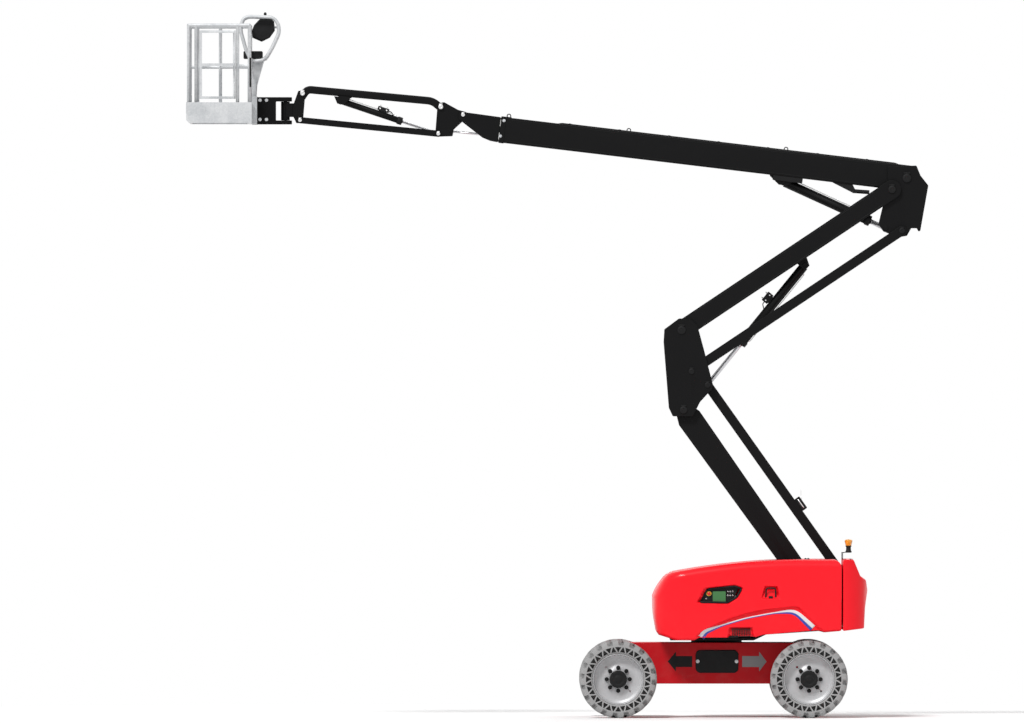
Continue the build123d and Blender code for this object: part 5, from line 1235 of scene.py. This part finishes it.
# Weld seams: thin beads along a flank, a little inside its edges
def seams(start, end, fromAlong, toAlong, rises, face):
    beads = []
    for low, high in rises:
        for y in (-face, face):
            beads.append(tubeAlong([onMember(start, end, fromAlong, low, y), onMember(start, end,
                    (fromAlong + toAlong) / 2, (low + high) / 2, y),
                                    onMember(start, end, toAlong, high, y)], 0.0035, 8))
    return beads


def buildRisers():
    for node, edge in (("lower_arm", 0.004), ("lower_link", 0.003), ("middle_knuckle", 0.004),
                       ("upper_arm", 0.004),
                       ("upper_link", 0.003), ("top_knuckle", 0.004)):
        dressNode(node, edge)
    makePiece("lowerArmSeams", seams(lowerFoot, lowerHead, 0.12, 2.62, ((0.098, 0.128), (-0.098, -0.128)),
                                     0.131),
              "lower_arm", finishes["steelBlack"], 50)
    makePiece("upperArmSeams", seams(upperFoot, upperHead, 0.25, 2.85, ((0.09, 0.09), (-0.09, -0.09)),
                                     0.1845),
              "upper_arm", finishes["steelBlack"], 50)
    pipes, clamps = flankPipes(lowerFoot, lowerHead, 0.35, 2.45, (-0.03, 0.0, 0.03), 0.13)
    makePiece("lowerArmPipes", pipes, "lower_arm", finishes["hoseBlack"], 60)
    makePiece("lowerArmClamps", clamps, "lower_arm", finishes["steelBlack"], 40)
    print("risers dressed")


# Pins of the risers and the boom: (place, pin radius, outer face of the plate, the body that holds the pin)
def buildPins():
    groups = {
        "cheekPins": ("turret", "frame_black", 0.172, [(lowerFoot, 0.044), (linkFoot, 0.034),
                                                       (pivot("lower_barrel_turn"), 0.036)]),
        "middlePins": ("middle_knuckle", "frame_black", 0.217, [
            (lowerHead, 0.044), (upperFoot, 0.05), (pivot("upper_link_foot"), 0.034),
            (linkFoot + lowerHead - lowerFoot, 0.034)]),
        "topPins": ("top_knuckle", "frame_black", 0.19, [(upperHead, 0.046),
                                                         (pivot("upper_link_foot") + upperHead - upperFoot,
                                                          0.034)]),
        "boomPins": ("top_knuckle", "frame_black", 0.15, [(boomPivot, 0.052)]),
    }
    for name, (body, slot, face, pins) in groups.items():
        blocks = []
        for place, radius in pins:
            for side in (-1, 1):
                blocks += pinCaps([(place[0], place[2])], radius, side * face, side)
        makePiece(name, blocks, body, finishes["steelBlack"], 40)
    print("pins capped")


rams = {
    "lower": {"barrel": 0.06, "rod": 0.032, "length": 0.65, "flip": 1},
    "upper": {"barrel": 0.055, "rod": 0.027, "length": 1.23, "flip": -1},
    "boom": {"barrel": 0.056, "rod": 0.03, "length": 1.15, "flip": 1},
    "level": {"barrel": 0.03, "rod": 0.014, "length": 0.56, "flip": -1},
    "jib": {"barrel": 0.038, "rod": 0.017, "length": 0.784, "flip": 1},
}


ramLine = {"start": 0.1, "gap": 0.012, "sink": 0.004, "bend": 0.02, "radius": 0.0055, "glandSteps": 44}


# A cylinder's barrel and rod from the CAD, with a turned gland nut, a wiper, and a hard line on its side
def buildRams():
    for name, size in rams.items():
        dressNode(f"{name}_barrel", 0)
        dressNode(f"{name}_rod", 0)
        base = pivot(f"{name}_barrel_turn")
        along = np.array(joints[f"{name}_rod_slide"]["axis"], float)
        along /= np.linalg.norm(along)
        mouth = base + along * size["length"]
        r, rod = size["barrel"], size["rod"]
        nut = lathe([(-0.056, r + 0.0072), (-0.05, r + 0.009), (-0.012, r + 0.009), (-0.004, r + 0.004),
                     (0.0008, r + 0.001),
                     (0.0008, rod + 0.006), (0.006, rod + 0.005), (0.006, rod + 0.0012),
                     (-0.02, rod + 0.0012)],
                    mouth, along, ramLine["glandSteps"])[0]
        nut = gridBlock(nut.reshape(-1, ramLine["glandSteps"], 3), closedU=True, closedV=True)
        makePiece(f"gland_{name}", [nut], f"{name}_barrel", finishes["steelBlack"], 35)
        side = np.cross(along, acrossAxis)
        side *= math.copysign(1, side[2]) * size["flip"]
        start, end = base + along * ramLine["start"], mouth - along * ramLine["start"]
        off = side * (r + ramLine["gap"])
        sunk = side * (r - ramLine["sink"])
        route = [start + sunk, start + off, end + off, end + sunk]
        line = tubeAlong(roundedPath(route, ramLine["bend"], 6), ramLine["radius"], 10)
        ports = [lathe([(-0.012, 0.013), (0.01, 0.013), (0.012, 0.011), (0.012, 0)], spot + side * r, side,
                       20)
                 for spot in (start, end)]
        makePiece(f"ramLine_{name}", [line] + ports, f"{name}_barrel", finishes["boltZinc"],
                  45)
    print("cylinders dressed")


boomSize = {"length": 4.93, "half": 0.11, "deep": 0.155, "teleHalf": 0.093, "teleDeep": 0.138}
boomAlong = np.array(joints["extend"]["axis"], float)
boomAlong /= np.linalg.norm(boomAlong)
boomUp = np.array([-boomAlong[2], 0, boomAlong[0]])
boomUp *= math.copysign(1, boomUp[2])


def onBoom(along, up, across=0.0):
    return boomPivot + along * boomAlong + up * boomUp + across * acrossAxis


def boomSlab(width, height, alongPlace, upPlace, low, high, radius=0.01):
    return slab(roundRect(width, height, radius), low, high, onBoom(alongPlace, upPlace), (boomAlong, boomUp,
            acrossAxis), 0.002)


def buildBoom():
    b = boomSize
    dressNode("boom_outer", 0.004)
    dressNode("telescope", 0.003)
    rings, bases = [], []
    for x, z in ((-2.5, 7.2), (-1.056, 7.04), (0.834, 6.8)):
        spot = np.array([x, 0, z]) - boomPivot
        along = spot @ boomAlong
        top = b["deep"] + (0.006 if along > b["length"] - 0.07 else 0)
        turn = np.linspace(0, 2 * math.pi, 24, endpoint=False)
        loop = onBoom(along, top + 0.02) + 0.022 * (np.cos(turn)[:, None] * boomAlong + np.sin(turn)[:,
                None] * boomUp)
        rings.append(tubeAlong(loop, 0.006, 10, acrossAxis, True))
        bases.append(slab(roundRect(0.07, 0.05, 0.008), -0.002, 0.008, onBoom(along, top),
                          (boomAlong, acrossAxis, boomUp), 0.002))
    makePiece("boomRings", rings + bases, "boom", finishes["steelBlack"], 45)
    heads = []
    for x, z in ((-2.556, 7.176), (-2.6, 6.99)):
        spot = np.array([x, 0, z]) - boomPivot
        for side in (-1, 1):
            heads.append(bolts([onBoom(spot @ boomAlong, spot @ boomUp, side * 0.116)], 0.022, (0, side, 0)))
    makePiece("padBolts", heads, "boom", finishes["zinc"], 40)
    mouth = b["length"]
    pads = []
    for up in (-1, 1):
        for side in (-1, 1):
            low, high = sorted((side * (b["teleHalf"] + 0.001), side * (b["half"] - 0.001)))
            pads.append(boomSlab(0.05, 0.09, mouth - 0.018, up * 0.08, low, high))
            z0, z1 = sorted((up * (b["teleDeep"] + 0.001), up * (b["deep"] - 0.001)))
            pads.append(slab(roundRect(0.05, 0.06, 0.008), z0, z1, onBoom(mouth - 0.018, 0, side * 0.05),
                             (boomAlong, acrossAxis, boomUp), 0.002))
    makePiece("wearPads", pads, "boom", finishes["padWhite"], 40)
    # carriers below the boom for the cylinder's valve and the harness
    low = -b["deep"]
    spots = [((0.857, 6.47), 0.36, 0.06)]
    trays = []
    for (x, z), width, height in spots:
        spot = np.array([x, 0, z]) - boomPivot
        along = spot @ boomAlong
        for y in (-0.101, 0.095):
            trays.append(boomSlab(width, height, along, low - height / 2 + 0.004, y, y + 0.006))
        trays.append(slab(roundRect(width - 0.02, 0.19, 0.006), -0.006, 0,
                          onBoom(along, low - height + 0.008),
                          (boomAlong, acrossAxis, boomUp), 0.002))
    hook = np.array([(1.36, 6.475), (1.404, 6.43), (1.655, 6.302), (1.668, 6.35), (1.62, 6.445)])
    trays += [slab(hook, y, y + 0.008, (0, 0, 0), flankAxes, 0.002) for y in (-0.09, 0.082)]
    trays += [tubeAlong([(1.64, y, 6.33), (1.74, y, 6.322), (1.84, y, 6.315)], 0.024, 16) for y in (-0.06,
            0.06)]
    makePiece("boomCarriers", trays, "boom", finishes["steelBlack"], 40)
    seam = [tubeAlong([onBoom(0.0, up, y), onBoom(2.4, up, y), onBoom(4.84, up, y)], 0.003, 8)
            for up in (-0.128, 0.128) for y in (-0.11, 0.11)]
    makePiece("boomSeams", seam, "boom", finishes["steelBlack"], 50)
    pipe = [tubeAlong(roundedPath([onBoom(0.12, 0.15, y), onBoom(0.16, 0.162, y), onBoom(2.6, 0.162, y),
                                   onBoom(4.2, 0.162, y),
                                   onBoom(4.24, 0.15, y)], 0.02, 6), 0.0075, 10) for y in (0.03, 0.05, 0.07)]
    makePiece("boomPipes", pipe, "boom", finishes["hoseBlack"], 60)
    clamps = [slab(roundRect(0.03, 0.08, 0.006), -0.01, 0.01, onBoom(a, 0.163, 0.05), (boomAlong, acrossAxis,
            boomUp), 0.002)
              for a in np.arange(0.5, 4.2, 0.6)]
    makePiece("boomClamps", clamps, "boom", finishes["steelBlack"], 40)
    print("boom dressed")


# A valve on the side of a barrel: a block with cartridge caps, and ports towards the mouth
def valveOnRam(name, along, out, length, height, depth):
    base = pivot(f"{name}_barrel_turn")
    a = np.array(joints[f"{name}_rod_slide"]["axis"], float)
    a /= np.linalg.norm(a)
    n = np.array([-a[2], 0.0, a[0]])
    n *= math.copysign(1, n[2])
    middle = base + a * along + n * out
    core = slab(roundRect(length, height, 0.006), -depth / 2, depth / 2, middle, (a, n, acrossAxis), 0.004)
    saddle = slab(roundRect(length * 0.7, out, 0.004), -depth * 0.35, depth * 0.35,
                  base + a * along + n * out * 0.5, (a, n, acrossAxis), 0.002)
    caps = []
    for shift in (-0.3, 0.3):
        caps.append(lathe([(-0.004, 0.011), (0.01, 0.011), (0.012, 0.008), (0.02, 0.008), (0.022, 0.005),
                           (0.022, 0)],
                          middle + a * length * shift + n * height / 2, n, 18))
        caps.append(lathe([(-0.004, 0.009), (0.01, 0.009), (0.012, 0.006), (0.012, 0)],
                          middle + a * length * shift - acrossAxis * depth / 2, -acrossAxis, 18))
    pipe = roundedPath([middle + a * length * 0.48, middle + a * (length * 0.5 + 0.03),
                        middle + a * (length * 0.5 + 0.07) - n * out * 0.5,
                        middle + a * (length * 0.5 + 0.09) - n * out * 0.7], 0.03, 6)
    makePiece(f"valve_{name}", [core, saddle, tubeAlong(pipe, 0.006, 10)], f"{name}_barrel",
              finishes["plasticBlack"], 40)
    makePiece(f"valveCaps_{name}", caps, f"{name}_barrel", finishes["boltZinc"], 45)


jibBar = {
    "line": [(-4.99, 7.456), (-4.925, 7.552), (-3.414, 7.412), (-3.308, 7.322)], "corner": 0.12,
    "lug": [(-4.6, 7.47), (-4.4, 7.45), (-4.47, 7.38), (-4.525, 7.37), (-4.565, 7.385)],
}


# A bar of one section carried along a path: the outline's first way lies in the plane of the path
def barAlong(path, outline, across=acrossAxis):
    tangent = np.gradient(path, axis=0)
    tangent /= np.linalg.norm(tangent, axis=1)[:, None]
    first = np.cross(tangent, across)
    first /= np.linalg.norm(first, axis=1)[:, None]
    grid = path[:, None] + outline[None, :, :1] * first[:, None] + outline[None, :, 1:] * np.asarray(across)
    ends = [np.broadcast_to(path[k], (1, len(outline), 3)) for k in (0, -1)]
    return gridBlock(np.concatenate([ends[0], grid, ends[1]]), closedV=True)


def buildJib():
    for node, edge in (("jib_foot", 0.003), ("jib_link", 0.002), ("jib_head", 0.003)):
        dressNode(node, edge)
    for name, body, face, places in (
        ("jibFootPins", "jib_foot", 0.084, [(jibFootPin, 0.028), (pivot("jib_link_foot"), 0.022)]),
        ("jibHeadPins", "jib_head", 0.084, [(jibHeadPin, 0.028),
                                            (pivot("jib_link_foot") + jibHeadPin - jibFootPin, 0.022)]),
        ("levelPins", "telescope", 0.1, [(levelPin, 0.022)]),
    ):
        blocks = []
        for place, radius in places:
            for side in (-1, 1):
                blocks += pinCaps([(place[0], place[2])], radius, side * face, side)
        makePiece(name, blocks, body, finishes["boltZinc"], 40)
    j = jibBar
    bar = roundedPath([(x, 0.0, z) for x, z in j["line"]], j["corner"], 10)
    lug = np.array(j["lug"])
    lugs = [slab(lug, low, high, (0, 0, 0), flankAxes, 0.002) for low, high in ((-0.062, -0.048),
            (0.048, 0.062))]
    ties = slab(roundRect(0.16, 0.116, 0.01), -0.004, 0.012, (-4.47, 0, 7.458),
                (memberAxes(jibHeadPin, jibFootPin)[0], acrossAxis, upAxis), 0.002)
    ends = [lathe([(-0.066, 0), (-0.066, 0.03), (0.066, 0.03), (0.066, 0)], place, acrossAxis,
                  32) for place in (jibFootPin, jibHeadPin)]
    pin = lathe([(-0.066, 0), (-0.066, 0.018), (0.066, 0.018), (0.066, 0)], pivot("jib_barrel_turn"),
                acrossAxis, 24)
    makePiece("jibTopBar", [barAlong(bar, roundRect(0.092, 0.08, 0.014, 4))] + lugs + [ties, pin] + ends,
              "jib_arm",
              finishes["armBlack"], 35, ["jib_arm"])
    print("jib dressed")


# The basket's own places
floorLow, floorHigh = corners("basket_floor")
basket = {
    "ribRise": 0.0022, "ribSink": 0.001, "ribWidth": 0.014, "ribCorner": 0.0068, "ribPitch": 0.055,
    "ribInset": 0.06,
    "treadPitch": 0.045,
}


def buildBasket():
    for node, edge in (("basket_bracket", 0.006), ("basket_floor", 0.002), ("near_rails", 0.0),
                       ("far_rails", 0.0),
                       ("front_rails", 0.0), ("rear_rails", 0.0), ("basket_gate", 0.0)):
        dressNode(node, edge)
    low, high = floorLow, floorHigh
    floorZ = low[2] + 0.1
    # pressed upright ribs along the toe boards
    ribs = []
    for y, face in ((low[1], -1), (high[1], 1)):
        for x in np.arange(low[0] + basket["ribInset"], high[0] - 0.05, basket["ribPitch"]):
            z0, z1 = floorZ + 0.012, high[2] - 0.022
            d0, d1 = sorted((face * -basket["ribSink"], face * basket["ribRise"]))
            ribs.append(slab(roundRect(basket["ribWidth"], z1 - z0, basket["ribCorner"]), d0, d1,
                             (x, y, (z0 + z1) / 2), flankAxes, 0.001))
    for x, face in ((low[0], -1), (high[0], 1)):
        for y in np.arange(low[1] + basket["ribInset"], high[1] - 0.05, basket["ribPitch"]):
            z0, z1 = floorZ + 0.012, high[2] - 0.022
            d0, d1 = sorted((face * -basket["ribSink"], face * basket["ribRise"]))
            ribs.append(slab(roundRect(basket["ribWidth"], z1 - z0, basket["ribCorner"]), d0, d1,
                             (x, y, (z0 + z1) / 2),
                             (acrossAxis, upAxis, worldAxes[0]), 0.001))
    makePiece("toeRibs", ribs, "basket", finishes["zinc"], 40)
    # raised lozenges of the tread plate, turned one way and the other in turn
    turn = np.arange(8) * math.pi / 4
    oval = np.stack([0.016 * np.cos(turn), 0.0045 * np.sin(turn)], axis=1)
    xs = np.arange(low[0] + 0.05, high[0] - 0.04, basket["treadPitch"])
    ys = np.arange(low[1] + 0.05, high[1] - 0.04, basket["treadPitch"])
    treads = []
    for parity, angle in ((0, math.pi / 4), (1, -math.pi / 4)):
        spin = np.array([[math.cos(angle), math.sin(angle)], [-math.sin(angle), math.cos(angle)]])
        places = [(x, y, floorTop) for i, x in enumerate(xs) for j,
                  y in enumerate(ys) if (i + j) % 2 == parity]
        treads.append(repeatBlock(slab(oval @ spin, -0.001, 0.0016, (0, 0, 0), worldAxes, 0.0008), places))
    makePiece("treadLozenges", treads, "basket", finishes["zinc"], 40)
    print("basket floor and toe boards made")


floorTop = floorLow[2] + 0.0942

hoop = {
    "line": [(-5.70, 8.03), (-5.724, 8.25), (-5.724, 8.31), (-5.694, 8.4), (-5.63, 8.428), (-5.33, 8.418),
             (-5.27, 8.34),
             (-5.262, 8.235), (-5.33, 8.081), (-5.43, 7.905), (-5.6, 7.888), (-5.66, 8.02)],
    "across": 0.25, "radius": 0.021,
}
caseOutline = [(-5.56, 8.325), (-5.478, 8.412), (-5.378, 8.424), (-5.326, 8.366), (-5.318, 8.261),
               (-5.378, 8.177),
               (-5.473, 8.13), (-5.58, 8.177), (-5.588, 8.255)]


def buildConsole():
    loops = []
    line = np.array([(x, z) for x, z in hoop["line"][1:]])
    closed = np.vstack([line[-1:], line, line[:1]])
    path = roundedPath(closed, 0.07, 6)[1:-1]
    for y in (-hoop["across"], hoop["across"]):
        loop = np.stack([path[:, 0], np.full(len(path), y), path[:, 1]], axis=1)
        loops.append(tubeAlong(loop, hoop["radius"], 16, acrossAxis, True))
    for x, z in ((-5.71, 8.345), (-5.268, 8.3), (-5.42, 7.915)):
        loops.append(tubeAlong([(x, -0.25, z), (x, 0.0, z), (x, 0.25, z)], 0.014, 14, upAxis))
    for y in (-0.12, 0.12):
        loops.append(tubeAlong([(-5.34, y, 8.3), (-5.305, y, 8.3), (-5.268, y, 8.3)], 0.012, 12))
    makePiece("consoleHoop", loops, "basket", finishes["zinc"], 60, ["basket_console"])
    case = slab(np.array(caseOutline), -0.19, 0.19, (0, 0, 0), flankAxes, 0.014)
    lid = slab(insetOutline(np.array(caseOutline), -0.004), -0.06, 0.06, (0, 0, 0), flankAxes, 0.004)
    makePiece("consoleCase", [case, lid], "basket", finishes["plasticBlack"], 40)
    tray = boxBlock((-5.69, -0.26, 7.92), (-5.46, 0.26, 8.011), 0.008, 0.03)
    makePiece("consoleTray", [tray], "basket", finishes["plasticBlack"], 40)
    side = [(-5.586, 7.925), (-5.438, 7.925), (-5.445, 7.89), (-5.527, 7.6), (-5.534, 7.46), (-5.586, 7.46)]
    column = slab(np.array(side), -0.16, 0.16, (0, 0, 0), flankAxes, 0.006)
    foldY = [slab(np.array([(-5.58, 7.9), (-5.47, 7.9), (-5.54, 7.62), (-5.58, 7.62)]), low, low + 0.003,
                  (0, 0, 0), flankAxes, 0.001)
             for low in (-0.1625, 0.1595)]
    makePiece("consoleColumn", [column] + foldY, "basket", finishes["zinc"], 40)
    sticks, boots, heads = [], [], []
    for y in (-0.12, 0.12):
        boots.append(lathe([(0, 0.034), (0.006, 0.034), (0.01, 0.026), (0.014, 0.028), (0.018, 0.02),
                            (0.022, 0.022),
                            (0.026, 0.013), (0.03, 0.013), (0.03, 0)], (-5.43, y, 8.412), upAxis, 28))
        sticks.append(lathe([(0.028, 0.007), (0.05, 0.009), (0.058, 0.014), (0.085, 0.017), (0.098, 0.014),
                             (0.104, 0.006),
                             (0.105, 0)], (-5.43, y, 8.375), upAxis, 24))
    for y in (-0.16, -0.08, -0.04, 0.0, 0.04, 0.08, 0.16):
        for x in (-5.468, -5.39):
            heads.append(lathe([(0, 0.009), (0.004, 0.009), (0.006, 0.005), (0.02, 0.003), (0.025, 0.0045),
                                (0.027, 0.0)],
                               (x, y, 8.418), upAxis, 12))
    makePiece("joystickBoots", boots + sticks, "basket", finishes["hoseBlack"], 50)
    makePiece("consoleSwitches", heads, "basket", finishes["boltZinc"], 50)
    stop = lathe([(0, 0.013), (0.012, 0.013), (0.014, 0.021), (0.022, 0.022), (0.027, 0.016), (0.028, 0)],
                 (-5.43, 0.0, 8.415), upAxis, 28)
    makePiece("basketStop", [stop], "basket", finishes["buttonRed"], 50)
    bar = boxBlock((-5.61, -0.906, 7.572), (-5.59, -0.896, 7.926), 0.003)
    makePiece("gateStrip", [bar], "basket", finishes["plasticBlack"], 40)
    heads = []
    for side in (-1, 1):
        for x in (-5.49, -5.412):
            for z in (7.42, 7.188):
                heads.append(bolts([(x, side * 0.33, z)], 0.024, (0, side, 0)))
    makePiece("bracketBolts", heads, "basket", finishes["zinc"], 40)
    posts = [slab(roundRect(0.07, 0.34, 0.006), low, low + 0.006, (-5.56, 0, 7.3), flankAxes,
                  0.002) for low in (-0.3365, 0.3305)]
    makePiece("bracketChannels", posts, "basket", finishes["zinc"], 40)
    print("console made")


def buildLooseDetails():
    spot = onMember(linkFoot, linkFoot + lowerHead - lowerFoot, 0.98, 0.09, 0.0)
    a, u = memberAxes(linkFoot, linkFoot + lowerHead - lowerFoot)
    box = slab(roundRect(0.17, 0.07, 0.012), -0.045, 0.045, spot, (a, u, acrossAxis), 0.005)
    makePiece("angleSensor", [box], "lower_link", finishes["plasticBlack"], 40)
    whip = lathe([(0, 0.012), (0.02, 0.012), (0.03, 0.005), (0.09, 0.003), (0.13, 0.0022), (0.132, 0)],
                 spot + u * 0.03 + a * 0.04, upAxis, 14)
    band = slab(roundRect(0.12, 0.012, 0.005), -0.0475, -0.044, spot, (a, u, acrossAxis), 0.001)
    makePiece("sensorWhip", [whip, band], "lower_link", finishes["boltZinc"], 50)
    valveOnRam("upper", 0.589, 0.1, 0.13, 0.08, 0.07)
    valveOnRam("jib", 0.525, 0.066, 0.14, 0.05, 0.06)
    print("loose details made")


buildHoods()
buildControls()
buildBeacon()
buildChassis()
buildTurret()
buildRisers()
buildPins()
buildRams()
buildBoom()
buildJib()
buildBasket()
buildConsole()
buildLooseDetails()
